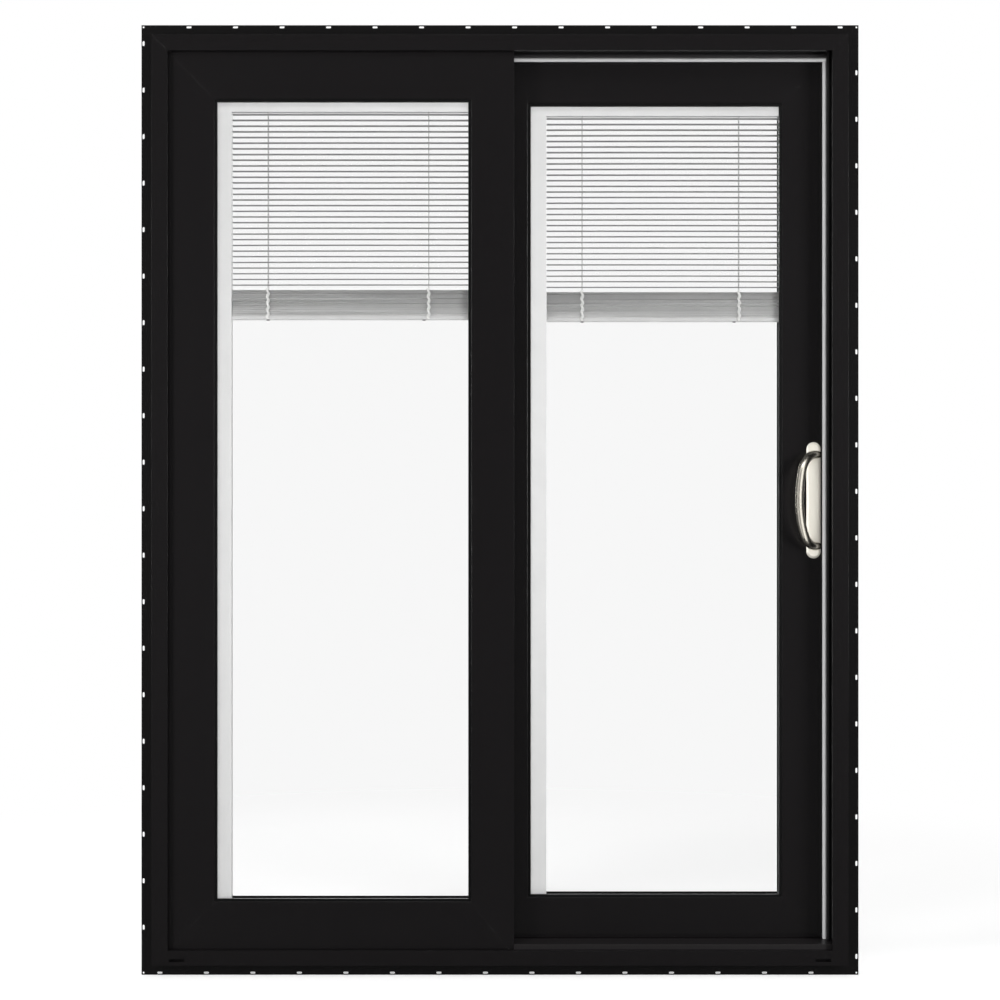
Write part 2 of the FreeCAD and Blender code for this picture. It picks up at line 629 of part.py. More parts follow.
def glazed_panel(prefix, names, face, outer, left, right, channel):
    """A panel of four mitred members with its double glass, beads and blind."""
    glass = (left, right, "glass_up", GLASS_TOP)
    pieces = {}
    for key, corners in mitred(outer, glass).items():
        pieces[key] = member(names[key], face, "panel_thick", corners, glass)

    def grown(by):
        return box(f"{left} - {by}", f"{right} + {by}", f"glass_up - {by}", f"{GLASS_TOP} + {by}")

    unit = f"{face} + {GLASS_DEPTH}"
    behind = f"{unit} + unit_glass_thick"
    cavity = f"{unit} + pane_thick"
    cavity_deep = "(unit_glass_thick - 2 * pane_thick)"
    block(f"{prefix}_outside_glass", "XZ", unit, "pane_thick", grown("glass_bite"))
    block(f"{prefix}_inside_glass", "XZ", f"{behind} - pane_thick", "pane_thick", grown("glass_bite"))
    block(f"{prefix}_glass_spacer", "XZ", cavity, cavity_deep,
          grown("glass_bite"), grown("(glass_bite - spacer_wide)"))
    block(f"{prefix}_glass_gasket", "XZ", f"{unit} - gasket_deep", "gasket_deep",
          grown("gasket_wide"), grown("0"))
    beads(f"{prefix}_glazing_beads", behind, left, right, grown)
    rail_high = blind(prefix, cavity, cavity_deep, left, right, channel)
    blind_knob(f"{prefix}_blind_slider", behind, f"({left} + {channel} / 2)", rail_high)
    return pieces


def member_names(left, right, prefix):
    return {"left": left, "right": right, "low": f"{prefix}_bottom_rail", "high": f"{prefix}_top_rail"}


glazed_panel(
    "fixed", member_names("fixed_outer_stile", "fixed_meeting_stile", "fixed"), "-fixed_face",
    (f"-{SIDE} - fixed_bite", FIXED_END, "sill_floor + seat", f"{TOP} + fixed_bite"),
    f"(-{SIDE} + fixed_stile_shows)", "fixed_glass_edge", "fixed_channel",
)
SLIDE_END = f"({SIDE} + slide_bite)"
SLIDE_START = "(slide_glass_edge - member_wide)"
SLIDE_TOP = f"({TOP} + slide_head_bite)"
sliding = glazed_panel(
    "sliding", member_names("sliding_meeting_stile", "sliding_lock_stile", "sliding"), SLIDE_FACE,
    (SLIDE_START, SLIDE_END, "slide_bottom", SLIDE_TOP),
    "slide_glass_edge", f"({SIDE} - lock_stile_shows)", "slide_channel",
)
# the step that lets the edges of the sliding panel run behind the divider of the frame
cut(sliding["right"], "XZ", f"{SLIDE_FACE} - 1", "rebate_deep + 1",
    box(f"{SLIDE_END} - rebate_wide", f"{SLIDE_END} + 1", "slide_bottom - 1", f"{SLIDE_TOP} + 1"))
for key in ("high", "left"):
    cut(sliding[key], "XZ", f"{SLIDE_FACE} - 1", "rebate_deep + 1",
        box(f"{SLIDE_START} - 1", f"{SLIDE_END} + 1", f"{SLIDE_TOP} - rebate_high", f"{SLIDE_TOP} + 1"))


# The handle set: a plate with round ends and a bowed pull on each side, a thumb latch inside.
FOOT_X = f"({HANDLE_X} + foot_in)"
UPRIGHT = FreeCAD.Vector(0, 1, 0)


def leaning(sketch, swing):
    """Turns a sketch about an upright line."""
    sketch.AttachmentOffset = FreeCAD.Placement(FreeCAD.Vector(0, 0, 0), FreeCAD.Rotation(UPRIGHT, 45))
    bind(sketch, ".AttachmentOffset.Rotation.Angle", swing)


def upright_slot(body, start, length, across, long, wide):
    """A plate or lever with round ends, upright at the height of the handle."""
    def outline(sketch):
        draw_slot(sketch, across, "handle_up", long, wide, True)

    return pad(body, "XZ", start, length, drawn=outline)


def plate(name, start, outside):
    """A handle plate whose rim slopes down towards the door."""
    body = new_body(name)
    upright_slot(body, start, "plate_thick", HANDLE_X, "plate_long", "plate_wide")
    doc.recompute()
    bounds = body.Shape.BoundBox
    bevel(body, bounds.YMin if outside else bounds.YMax, "plate_bevel", "plate_bevel_deep")
    node(name, body)


def pull(name, foot, way):
    """A round bar swept from foot to foot along a bow of four arcs that leans to the side."""
    swing = f"(180 deg {way} atan(pull_out / pull_side))"
    reach = "sqrt(pull_out * pull_out + pull_side * pull_side)"
    high = "(pull_span / 2)"
    body = new_body(name)

    spine = new_sketch(body, "XZ", foot)
    leaning(spine, swing)
    bind(spine, ".AttachmentOffset.Base.x", f"{FOOT_X} * 1 mm")
    bind(spine, ".AttachmentOffset.Base.y", "handle_up * 1 mm")
    # The bow is a bend, two long arcs that meet in the middle of the grip, and a bend. Each bend has its
    # middle level with its foot, each long arc has its middle level with the grip, so they join smoothly.
    for side, size in (("", "pull_bend_high"), ("-", "pull_bend_low")):
        rest = f"({reach} - {size} - pull_foot)"
        arm = f"({high} - {size})"
        wide = f"(({arm} * {arm} - {rest} * {rest}) / (2 * {rest}) + {rest} + {size})"
        lean = f"(({wide} - {reach} + pull_foot) / ({wide} - {size}))"
        rise = f"({arm} / ({wide} - {size}))"
        turn = math.asin(worth(rise))
        # the bar starts inside the plate, so that its foot can be trimmed flush
        foot_from = ("-pull_bar", f"{side}{high}")
        foot_to = ("pull_foot", f"{side}{high}")
        stub = spine.addGeometry(Part.LineSegment(at(*foot_from), at(*foot_to)), False)
        spans = [(turn, math.pi / 2), (0, turn)] if side == "" else [(-math.pi / 2, -turn), (-turn, 0)]
        bend = arc(spine, "pull_foot", f"{side}{arm}", size, *spans[0])
        bow = arc(spine, f"{reach} - {wide}", "0", wide, *spans[1])
        near, far = (1, 2) if side == "" else (2, 1)
        pin(spine, stub, 1, *foot_from)
        pin(spine, stub, 2, *foot_to)
        spine.addConstraint(Sketcher.Constraint("Coincident", stub, 2, bend, far))
        pin(spine, bend, near, f"pull_foot + {size} * {lean}", f"{side}({arm} + {size} * {rise})")
        spine.addConstraint(Sketcher.Constraint("Coincident", bend, near, bow, far))
        pin(spine, bow, near, reach, "0")

    section = new_sketch(body, "YZ", f"{FOOT_X} - pull_bar * cos({swing})")
    leaning(section, swing)
    bind(section, ".AttachmentOffset.Base.x", f"({foot} - pull_bar * sin({swing})) * 1 mm")
    bind(section, ".AttachmentOffset.Base.y", f"(handle_up + {high}) * 1 mm")
    draw_circle(section, "0", "0", "pull_bar / 2")
    doc.recompute()

    sweep = body.newObject("PartDesign::AdditivePipe", name + "_sweep")
    sweep.Profile = section
    sweep.Spine = (spine, [])
    body.Tip = sweep
    doc.recompute()
    # the feet end flush on the plate
    trim = "2 * pull_bar"
    start = foot if way == "+" else f"{foot} - {trim}"
    cut(body, "XZ", start, trim, centred(FOOT_X, "handle_up", "4 * pull_side", "2 * pull_span"))
    node(name, body)


plate("outside_handle_plate", f"{SLIDE_FACE} - plate_thick", True)
plate("inside_handle_plate", SLIDE_BACK, False)
pull("outside_pull", f"({SLIDE_FACE} - plate_thick)", "+")
pull("inside_pull", f"({SLIDE_BACK} + plate_thick)", "-")
latch = new_body("thumb_latch")
upright_slot(latch, f"{SLIDE_BACK} + plate_thick", "latch_out",
             f"{HANDLE_X} + latch_in", "latch_long", "latch_wide")
node("thumb_latch", latch)
block("lock_faceplate", "YZ", SLIDE_END, "faceplate_thick",
      centred(TRACK, "handle_up", "faceplate_wide", "faceplate_long"), HOOK_SLOT)

# Two wheels under the sliding panel, each in a steel case let into the bottom rail.
WHEEL_Z = "(rail_top + seat + roller_r)"
CASE_TOP = f"({WHEEL_Z} + roller_r + seat + housing_sheet)"


def roller(name, across):
    low_edge, high_edge = f"{across} - housing_long / 2", f"{across} + housing_long / 2"
    # the rail is open below for the case
    cut(sliding["low"], "XZ", f"{TRACK} - housing_wide / 2 - seat", "housing_wide + 2 * seat",
        box(f"{low_edge} - seat", f"{high_edge} + seat", "slide_bottom - 1", f"{CASE_TOP} + seat"))
    body = new_body(name)
    for reach, radius in (("roller_wide / 2", "roller_r"), ("housing_wide / 2", "axle_r")):
        def disc(sketch, radius=radius):
            draw_circle(sketch, across, WHEEL_Z, radius)

        pad(body, "XZ", f"{TRACK} - {reach}", f"2 * {reach}", drawn=disc)
    for side in (f"{TRACK} - housing_wide / 2", f"{TRACK} + housing_wide / 2 - housing_sheet"):
        pad(body, "XZ", side, "housing_sheet", box(low_edge, high_edge, "slide_bottom", CASE_TOP))
    pad(body, "XZ", f"{TRACK} - housing_wide / 2", "housing_wide",
        box(low_edge, high_edge, f"{CASE_TOP} - housing_sheet", CASE_TOP))
    node(name, body)


roller("left_roller_unit", f"({SLIDE_START} + roller_in)")
roller("right_roller_unit", f"({SLIDE_END} - roller_in)")
doc.recompute()

os.makedirs("parts", exist_ok=True)
for thing in doc.Objects:
    if "Invalid" in thing.State or "Error" in thing.State:
        raise RuntimeError(f"{thing.Label} did not build: {thing.State}")
for name, thing in NODES.items():
    shape = thing.Shape
    if shape.isNull() or not shape.isValid() or not shape.Solids:
        raise RuntimeError(f"{name} has no sound solid")
    box_of = shape.BoundBox
    print(f"{name:28s} solids {len(shape.Solids):3d}  "
          f"x {box_of.XMin:8.1f} {box_of.XMax:8.1f}  y {box_of.YMin:6.1f} {box_of.YMax:6.1f}  "
          f"z {box_of.ZMin:7.1f} {box_of.ZMax:7.1f}  {shape.Volume / 1000:9.1f} cm3")
    shape.exportStep(os.path.join("parts", name + ".step"))
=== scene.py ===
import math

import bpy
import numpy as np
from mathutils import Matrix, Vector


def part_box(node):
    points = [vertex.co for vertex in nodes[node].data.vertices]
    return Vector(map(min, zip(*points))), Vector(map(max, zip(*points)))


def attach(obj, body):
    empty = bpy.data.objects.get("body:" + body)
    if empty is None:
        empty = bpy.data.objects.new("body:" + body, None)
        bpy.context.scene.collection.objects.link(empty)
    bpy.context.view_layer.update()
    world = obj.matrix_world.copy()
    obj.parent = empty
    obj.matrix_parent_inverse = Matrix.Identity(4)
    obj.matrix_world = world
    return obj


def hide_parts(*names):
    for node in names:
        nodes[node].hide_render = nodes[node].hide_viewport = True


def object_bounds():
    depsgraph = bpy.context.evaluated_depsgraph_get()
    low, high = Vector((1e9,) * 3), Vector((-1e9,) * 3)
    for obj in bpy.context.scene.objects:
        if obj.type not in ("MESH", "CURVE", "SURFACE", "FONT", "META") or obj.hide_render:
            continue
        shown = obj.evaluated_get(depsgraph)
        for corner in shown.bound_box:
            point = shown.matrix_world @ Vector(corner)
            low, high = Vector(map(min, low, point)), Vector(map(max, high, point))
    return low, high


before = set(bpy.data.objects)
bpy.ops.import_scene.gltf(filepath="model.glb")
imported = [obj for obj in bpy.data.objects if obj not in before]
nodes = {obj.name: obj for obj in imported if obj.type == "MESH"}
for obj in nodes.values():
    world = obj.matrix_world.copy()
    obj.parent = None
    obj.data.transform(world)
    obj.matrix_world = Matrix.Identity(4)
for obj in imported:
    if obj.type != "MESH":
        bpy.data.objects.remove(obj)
first_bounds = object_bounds()

# %% [markdown]
# # A glass sliding patio door, step by step
#
# This lesson dresses a patio door that was built to size in a CAD program. The door is a black vinyl
# frame with two glazed panels. The left panel stands still. The right one slides behind it and has a
# bowed pull. Between the panes of each panel hangs a small slatted blind, pulled part of the way up.
#
# Every piece of the door is already in the file as a plain mesh. What is left for us is what a size
# drawing does not tell: what each piece is made of, how its surface was made, and the fine parts that
# are too small to draw, such as the thin slats that lie gathered in each blind.

low, high = first_bounds
print("the door measures", [round(h - l, 4) for l, h in zip(low, high)], "metres")

# %% [markdown]
# ## Colours
#
# Paint charts and photographs give a colour as six hex digits, and those digits are not linear: half
# the number is far less than half the light. Blender's shaders want plain linear light. So every colour
# in this file is written as a hex code and goes through one small function.

# %% One way to write a colour
def hex_colour(code):
    """A six-digit sRGB code as linear red, green, blue and alpha."""
    parts = [int(code[k:k + 2], 16) / 255 for k in (0, 2, 4)]
    linear = [p / 12.92 if p <= 0.04045 else ((p + 0.055) / 1.055) ** 2.4 for p in parts]
    return (*linear, 1.0)


WHITE = hex_colour("FFFFFF")
print("half the number in linear light:", round(hex_colour("808080")[0], 3))

# %% [markdown]
# ## A helper for materials
#
# A material is a small graph of nodes. Adding a node always takes the same steps: make it, set its
# options, fill in its sockets and link what feeds it. One function does that, so that each material
# below reads as a list of what it is made of.

# %% Adding a node in one line
def add(tree, kind, inputs=None, **options):
    """Adds a node, sets its options, and fills or links its inputs."""
    made = tree.nodes.new(kind)
    for name, value in options.items():
        setattr(made, name, value)
    for name, value in (inputs or {}).items():
        socket = made.inputs[name]
        if isinstance(value, bpy.types.NodeSocket):
            tree.links.new(value, socket)
        else:
            socket.default_value = value
    return made


def new_material(name):
    material = bpy.data.materials.new(name)
    material.use_nodes = True
    material.node_tree.nodes.clear()
    print("material:", name)
    return material, material.node_tree


# %% [markdown]
# ## Patterns at their real size
#
# Real surfaces are never quite even: gloss comes in soft patches, brushed metal has hairlines, a die
# leaves ripples. Noise draws all of these. Its scale is worked out from a size in millimetres, and it
# takes its place from the piece itself, so that a pattern goes along when the panel slides.

# %% Grain of a given size
MM = 0.001


def grain(tree, size_mm, detail, stretch=(1, 1, 1)):
    """Noise with blotches of about size_mm and detail finer layers. A stretch under 1 draws them out."""
    place = add(tree, "ShaderNodeTexCoord")
    scale = [k / (size_mm * MM) for k in stretch]
    mapped = add(tree, "ShaderNodeMapping", {"Vector": place.outputs["Object"], "Scale": scale})
    return add(tree, "ShaderNodeTexNoise", {
        "Vector": mapped.outputs["Vector"], "Scale": 1.0, "Detail": detail})


# %% [markdown]
# ## Black vinyl
#
# The frame and the panels are extruded from vinyl that is black right through or has a black skin. It
# comes out of the die smooth and a little waxy, with a faint ripple along its length that only shows in
# reflections. A flat black would look like a hole. So the colour stays almost black, the gloss varies a
# little from place to place, and a very shallow noise disturbs the reflections. The Bevel node rounds
# sharp corners in the shading only, as a real profile has corners of about half a millimetre.

# %% Vinyl
GLOSS_PATCH_MM = 60.0
RIPPLE_MM = 9.0
RIPPLE_DEPTH = 0.05 * MM
RIPPLE_STRENGTH = 0.35
VINYL_IOR = 1.53
CORNER_SAMPLES = 4


def vinyl(name, codes, rough=(0.2, 0.26), corner_mm=0.8):
    """Two near blacks in soft patches, a gloss between two values, and the ripple of the die."""
    material, tree = new_material(name)
    patches = grain(tree, GLOSS_PATCH_MM, 2.0)
    ripple = grain(tree, RIPPLE_MM, 2.0)
    tone = add(tree, "ShaderNodeMix", {
        "Factor": patches.outputs["Fac"], "A": hex_colour(codes[0]), "B": hex_colour(codes[1])},
        data_type="RGBA")
    gloss = add(tree, "ShaderNodeMapRange", {
        "Value": patches.outputs["Fac"], "To Min": rough[0], "To Max": rough[1]})
    round_corner = add(tree, "ShaderNodeBevel", {"Radius": corner_mm * MM}, samples=CORNER_SAMPLES)
    wave = add(tree, "ShaderNodeBump", {
        "Height": ripple.outputs["Fac"], "Distance": RIPPLE_DEPTH, "Strength": RIPPLE_STRENGTH,
        "Normal": round_corner.outputs["Normal"]})
    shader = add(tree, "ShaderNodeBsdfPrincipled", {
        "Base Color": tone.outputs[2], "Roughness": gloss.outputs["Result"], "IOR": VINYL_IOR,
        "Normal": wave.outputs["Normal"]})
    add(tree, "ShaderNodeOutputMaterial", {"Surface": shader.outputs["BSDF"]})
    return material


# the frame and panels: a soft wide shine on nearly black
black_vinyl = vinyl("black vinyl extrusion", ("151314", "110F10"))
# the fin round the frame: thin, so its corners are sharper, and a shade darker
fin_vinyl = vinyl("black vinyl fin strip", ("100E0F", "0C0B0B"), corner_mm=0.3)
# feet and water take the shine off a sill; its grey is painted light, for the light that falls on its
# sloped top
sill_vinyl = vinyl("black vinyl sill cover, worn dull, greyed as painted light", ("242122", "1E1C1D"), (0.35, 0.45), 0.5)
# parts from a textured mould are duller than what comes out of a die
black_plastic = vinyl("moulded black plastic", ("19181A", "141314"), (0.45, 0.55), 0.5)

# %% [markdown]
# ## Window glass
#
# Float glass is clear, reflects a little more towards the edge of the view, and lets light pass to what
# is behind it. Four sheets of true refracting glass would trap most of the light on its way to the
# blinds and leave noise. So each sheet is a see-through shader with a weak mirror over it. The mirror's
# share comes from the Fresnel node. It is used only on faces that look towards the viewer, so that a
# sheet reflects once and not twice. Float glass is never quite flat, and a wide, very shallow wave bends
# what it mirrors.

# %% Glass
GLASS_IOR = 1.45
MIRROR_PART = 0.6  # of the full mirror, because two panes stand one behind the other
MIRROR_ROUGH = 0.02
PANE_WAVE_MM = 240.0
PANE_WAVE_DEPTH = 0.2 * MM
PANE_WAVE_STRENGTH = 0.4


def window_glass():
    material, tree = new_material("clear float glass")
    share = add(tree, "ShaderNodeFresnel", {"IOR": GLASS_IOR})
    facing = add(tree, "ShaderNodeNewGeometry")
    front = add(tree, "ShaderNodeMath", {
        0: 1.0, 1: facing.outputs["Backfacing"]}, operation="SUBTRACT")
    amount = add(tree, "ShaderNodeMath", {
        0: share.outputs["Fac"], 1: front.outputs["Value"]}, operation="MULTIPLY")
    weak = add(tree, "ShaderNodeMath", {
        0: amount.outputs["Value"], 1: MIRROR_PART}, operation="MULTIPLY")
    slow = grain(tree, PANE_WAVE_MM, 1.0)
    wave = add(tree, "ShaderNodeBump", {
        "Height": slow.outputs["Fac"], "Distance": PANE_WAVE_DEPTH, "Strength": PANE_WAVE_STRENGTH})
    clear = add(tree, "ShaderNodeBsdfTransparent", {"Color": hex_colour("FEFEFE")})
    mirror = add(tree, "ShaderNodeBsdfGlossy", {
        "Color": WHITE, "Roughness": MIRROR_ROUGH, "Normal": wave.outputs["Normal"]})
    mixed = add(tree, "ShaderNodeMixShader", {
        0: weak.outputs["Value"], 1: clear.outputs["BSDF"], 2: mirror.outputs["BSDF"]})
    add(tree, "ShaderNodeOutputMaterial", {"Surface": mixed.outputs["Shader"]})
    return material


# almost nothing to see, apart from a weak mirror that grows towards a slanting view
glass = window_glass()

# %% [markdown]
# ## Rubber, foam and enamel
#
# Round each pane sits a thin black rubber, and a dark foam bar keeps the two panes apart. The
# weatherstrip beside the sliding panel is a foam core in a light grey skin, soft and matt. The slats
# are one pale enamel on aluminium strip, drawn in two copies: grey on the faces as painted shade, and
# near-white on the edges as the lit copy. The head and the side channel of a blind are one pale enamel
# too, drawn in two near whites as painted light and shade, and the bottom rail is a little greyer.
#
# All of these are plain coats, and one function makes them: two near tones in a soft cloud, a gloss that
# varies with it, and a grain an eighth as wide. A flat colour would be shorter to write, but a white
# strip 600 mm long with no change of tone at all looks cut out of paper.

# %% Soft and painted surfaces
GRAIN_PART = 8
GRAIN_STRENGTH = 0.5
GLOSS_VARIES = 0.05


def coated(name, codes, rough, cloud_mm, depth_mm, ior=1.5, corner_mm=0.0):
    """A plain coat. With corner_mm, its corners are rounded in the shading."""
    material, tree = new_material(name)
    cloud = grain(tree, cloud_mm, 3.0)
    fine = grain(tree, cloud_mm / GRAIN_PART, 2.0)
    tone = add(tree, "ShaderNodeMix", {
        "Factor": cloud.outputs["Fac"], "A": hex_colour(codes[0]), "B": hex_colour(codes[1])},
        data_type="RGBA")
    gloss = add(tree, "ShaderNodeMapRange", {
        "Value": cloud.outputs["Fac"], "To Min": rough - GLOSS_VARIES, "To Max": rough + GLOSS_VARIES})
    relief = {"Height": fine.outputs["Fac"], "Distance": depth_mm * MM, "Strength": GRAIN_STRENGTH}
    if corner_mm:
        round_corner = add(tree, "ShaderNodeBevel", {"Radius": corner_mm * MM}, samples=CORNER_SAMPLES)
        relief["Normal"] = round_corner.outputs["Normal"]
    wave = add(tree, "ShaderNodeBump", relief)
    shader = add(tree, "ShaderNodeBsdfPrincipled", {
        "Base Color": tone.outputs[2], "Roughness": gloss.outputs["Result"], "IOR": ior,
        "Normal": wave.outputs["Normal"]})
    add(tree, "ShaderNodeOutputMaterial", {"Surface": shader.outputs["BSDF"]})
    return material


# %% Rubber and foam
# a thin wet-looking line round the glass
rubber = coated("smooth black glazing rubber", ("060606", "040404"), 0.3, 12.0, 0.02, 1.52)
# the dark edge deep between the panes
spacer_dark = coated("dark foam spacer bar", ("161617", "111112"), 0.5, 15.0, 0.05, corner_mm=0.3)
# matt and soft, the only light line on the black frame
seal_grey = coated("grey foam weatherstrip skin", ("CDCDCD", "C5C5C6"), 0.7, 20.0, 0.08)
# a small dull button
plug_plastic = coated("grey moulded plastic plug", ("7C7C7C", "727272"), 0.5, 8.0, 0.05)

# %% Enamel and bare edges
ENAMEL = {"cloud_mm": 40.0, "depth_mm": 0.02}

# baked enamel is smooth, and it is drawn grey as painted shade, so a slat seen edge-on shows as a grey line
slat_enamel_painted_shade = coated("slat enamel, grey as painted shade", ("A0A09F", "989898"), 0.35, **ENAMEL)
# the edges keep the slats' own near-white: the lit copy beside the grey faces, whose grey is painted shade
lit_slat_edge = coated("slat edges, the lit near-white copy of the slat enamel", ("F2F2F1", "EAEAE9"), 0.4, 20.0, 0.01)
# three pale rails with small rounded corners: head and channel are one enamel in two near whites, as
# painted light and shade, and the bottom rail is a little greyer
ENAMELLED_RAIL = {"rough": 0.4, "corner_mm": 0.4, **ENAMEL}
low_rail = coated("light grey enamel on bottom rails", ("D4D4D3", "CCCCCC"), **ENAMELLED_RAIL)
rail_enamel = coated("light grey enamel on blind heads", ("E8E8E7", "E2E2E2"), **ENAMELLED_RAIL)
channel_enamel = coated("pale enamel on blind side channels", ("E5E5E4", "DFDFDF"), **ENAMELLED_RAIL)

# %% Braided cord
# a braid scatters light like cloth: no shine at all, and a grain as wide as its plaits
PLAIT_MM = 3.0
# upright strings, rungs and lift cords are drawn grey as painted shade; the ladder cord is near-white like
# its bundle
shaded_cord_thread = coated("braided cord, grey as painted shade", ("A4A4A2", "989896"), 0.85, PLAIT_MM, 0.1)
# the bundle of ladder slack over the gathered slats shows the cord's own near-white
loop_thread = coated("white braided ladder cord", ("F2F2F0", "E6E6E4"), 0.85, PLAIT_MM, 0.1)

# %% [markdown]
# ## Brush lines on a bowed pull
#
# The pull is brushed along its bow, so its hairlines turn with it. Brushed metal spreads each light into
# a streak across the hairlines. The streak has to turn too, or the arms of the bow go dark. Blender takes
# its direction from a tangent, which a mesh with a UV map could give, but these pieces have no UV map.
# So it is worked out from the place of each point. The bow is taken as half an ellipse, the way straight
# out of an ellipse is easy to work out, and the hairlines run square to that.

# %% The way along the bow
BOW_REACH = 62.0 * MM
BOW_HALF = 100.5 * MM
UP = Vector((0.0, 0.0, 1.0))


def along_bow(tree, centre, lean):
    """The way along a bow that leans out along lean, with its feet above and below centre."""
    out = Vector(lean).normalized()
    place = add(tree, "ShaderNodeTexCoord")
    away = add(tree, "ShaderNodeVectorMath", {
        0: place.outputs["Object"], 1: centre}, operation="SUBTRACT")
    reach = add(tree, "ShaderNodeVectorMath", {
        0: away.outputs["Vector"], 1: out}, operation="DOT_PRODUCT")
    forth = add(tree, "ShaderNodeVectorMath", {
        0: out / BOW_REACH ** 2, "Scale": reach.outputs["Value"]}, operation="SCALE")
    rise = add(tree, "ShaderNodeVectorMath", {
        0: away.outputs["Vector"], 1: UP / BOW_HALF ** 2}, operation="MULTIPLY")
    outward = add(tree, "ShaderNodeVectorMath", {
        0: forth.outputs["Vector"], 1: rise.outputs["Vector"]}, operation="ADD")
    along = add(tree, "ShaderNodeVectorMath", {
        0: out.cross(UP), 1: outward.outputs["Vector"]}, operation="CROSS_PRODUCT")
    return along.outputs["Vector"]


# %% [markdown]
# ## Metals
#
# The handle set is cast zinc plated with nickel and finished with a fine brush, which gives the warm
# satin look. Brushing leaves thousands of hairlines along the handle, so the noise is drawn out upwards
# and disturbs both the gloss and the surface. Real hairlines are under a tenth of a millimetre wide. Here
# they are 0.8 mm, as fine as the picture can show. The roller track is plain extruded aluminium, with
# die lines along its length. The lock plates are zinc-plated steel.

# %% Brushed and plated metal
METAL_CORNER = 0.6 * MM
LINE_STRENGTH = 0.25


def metal(name, code, rough, line_mm, stretch, depth_mm, brushed=0.0, bow=None):
    """A bare metal. Where it is brushed, lights spread across lines that run upwards or along a bow."""
    material, tree = new_material(name)
    lines = grain(tree, line_mm, 4.0, stretch)
    gloss = add(tree, "ShaderNodeMapRange", {
        "Value": lines.outputs["Fac"], "To Min": rough[0], "To Max": rough[1]})
    round_corner = add(tree, "ShaderNodeBevel", {"Radius": METAL_CORNER}, samples=CORNER_SAMPLES)
    wave = add(tree, "ShaderNodeBump", {
        "Height": lines.outputs["Fac"], "Distance": depth_mm * MM, "Strength": LINE_STRENGTH,
        "Normal": round_corner.outputs["Normal"]})
    inputs = {"Base Color": hex_colour(code), "Metallic": 1.0, "Roughness": gloss.outputs["Result"],
              "Normal": wave.outputs["Normal"]}
    if brushed:
        facing = add(tree, "ShaderNodeNewGeometry")
        run = along_bow(tree, *bow) if bow else UP
        across = add(tree, "ShaderNodeVectorMath", {
            0: facing.outputs["Normal"], 1: run}, operation="CROSS_PRODUCT")
        inputs.update({"Anisotropic": brushed, "Tangent": across.outputs["Vector"]})
    shader = add(tree, "ShaderNodeBsdfPrincipled", inputs)
    add(tree, "ShaderNodeOutputMaterial", {"Surface": shader.outputs["BSDF"]})
    return material


# %% Nickel on the plates and the latch
HAIRLINES = {"line_mm": 0.8, "stretch": (1, 1, 0.03), "depth_mm": 0.02}

# broad strokes on the flat plate spread the light wide, and its base is drawn paler than the pulls' nickel
# as painted light, so it looks almost white
brushed_nickel = metal("satin nickel plate, brushed along its length", "E8E4DA", (0.52, 0.6),
                       **HAIRLINES, brushed=0.83)
# fingers polish the latch, so it mirrors more sharply
rubbed_nickel = metal("satin nickel plate, rubbed smooth", "CBC6BA", (0.32, 0.4),
                      **HAIRLINES, brushed=0.6)

# %% Nickel on the pulls
FOOT_ASIDE = 4.0 * MM  # the feet stand beside the middle of the plate
BOW_ASIDE, BOW_OUT = -42.7, 45.0  # millimetres that the bow leans to the side and out of the door

# a round bar with a bright ridge that follows the bow and falls off to warm grey on both sides
bowed_nickel = {}
for way, out in (("outside", -1), ("inside", 1)):
    (x0, y0, z0), (x1, y1, z1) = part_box(f"{way}_handle_plate")
    centre = ((x0 + x1) / 2 + FOOT_ASIDE, y0 if out < 0 else y1, (z0 + z1) / 2)
    bowed_nickel[way] = metal(
        f"satin nickel plate, brushed along the {way} bow", "CBC6BA", (0.23, 0.3),
        **HAIRLINES, brushed=0.5, bow=(centre, (BOW_ASIDE, out * BOW_OUT, 0.0)))
    print("the", way, "pull bows out from", [round(v, 4) for v in centre])

# %% Track and lock metal
# aluminium straight from the die: grey-white, with fine lines along the track
track_metal = metal("mill-finish aluminium extrusion", "C9CACC", (0.35, 0.5), 1.0, (0.02, 1, 1), 0.03)
# zinc forms soft patches of darker and lighter grey
lock_metal = metal("zinc-plated steel", "B4B5B6", (0.35, 0.5), 6.0, (1, 1, 1), 0.03)

# %% [markdown]
# ## Which piece gets which finish
#
# The pieces are named for what they are, so a list of name parts is enough to dress them all. It is read
# from the top, and what it does not name is black vinyl. Setting each piece by hand would work too, but
# a list shows at a glance which pieces share a finish.

# %% Dressing the pieces
FINISHES = (
    ("nail_fin", fin_vinyl), ("sill_insert", sill_vinyl), ("seal_carrier", black_plastic),
    ("glass_gasket", rubber), ("glass_spacer", spacer_dark), ("_glass", glass),
    ("blind_slats", slat_enamel_painted_shade), ("blind_stack", slat_enamel_painted_shade), ("blind_cords", shaded_cord_thread),
    ("blind_slider", black_plastic), ("blind_bottom_rail", low_rail),
    ("blind_channel", channel_enamel), ("blind_head", rail_enamel), ("weatherstrip", seal_grey),
    ("sill_track_rail", track_metal), ("latch_keeper", lock_metal), ("lock_faceplate", lock_metal),
    ("roller", lock_metal), ("handle_plate", brushed_nickel), ("thumb_latch", rubbed_nickel),
    ("outside_pull", bowed_nickel["outside"]), ("inside_pull", bowed_nickel["inside"]),
)

for name, piece in nodes.items():
    finish = next((material for part, material in FINISHES if part in name), black_vinyl)
    piece.data.materials.clear()
    piece.data.materials.append(finish)
finishes_used = {piece.data.materials[0].name for piece in nodes.values()}
print(len(nodes), "pieces in", len(finishes_used), "finishes")

# %% [markdown]
# ## Meshes by the row
#
# Slats, cords and plugs are all rows of points with faces between them. Modifiers such as Array repeat a
# thing exactly, and that evenness is what must go in a blind. A mesh written by a short loop, with numpy
# giving the places, keeps every strip under control and stays one object.

# %% A mesh builder
SIDES = {"fixed": "frame", "sliding": "sliding_panel"}  # each panel and the body that carries it


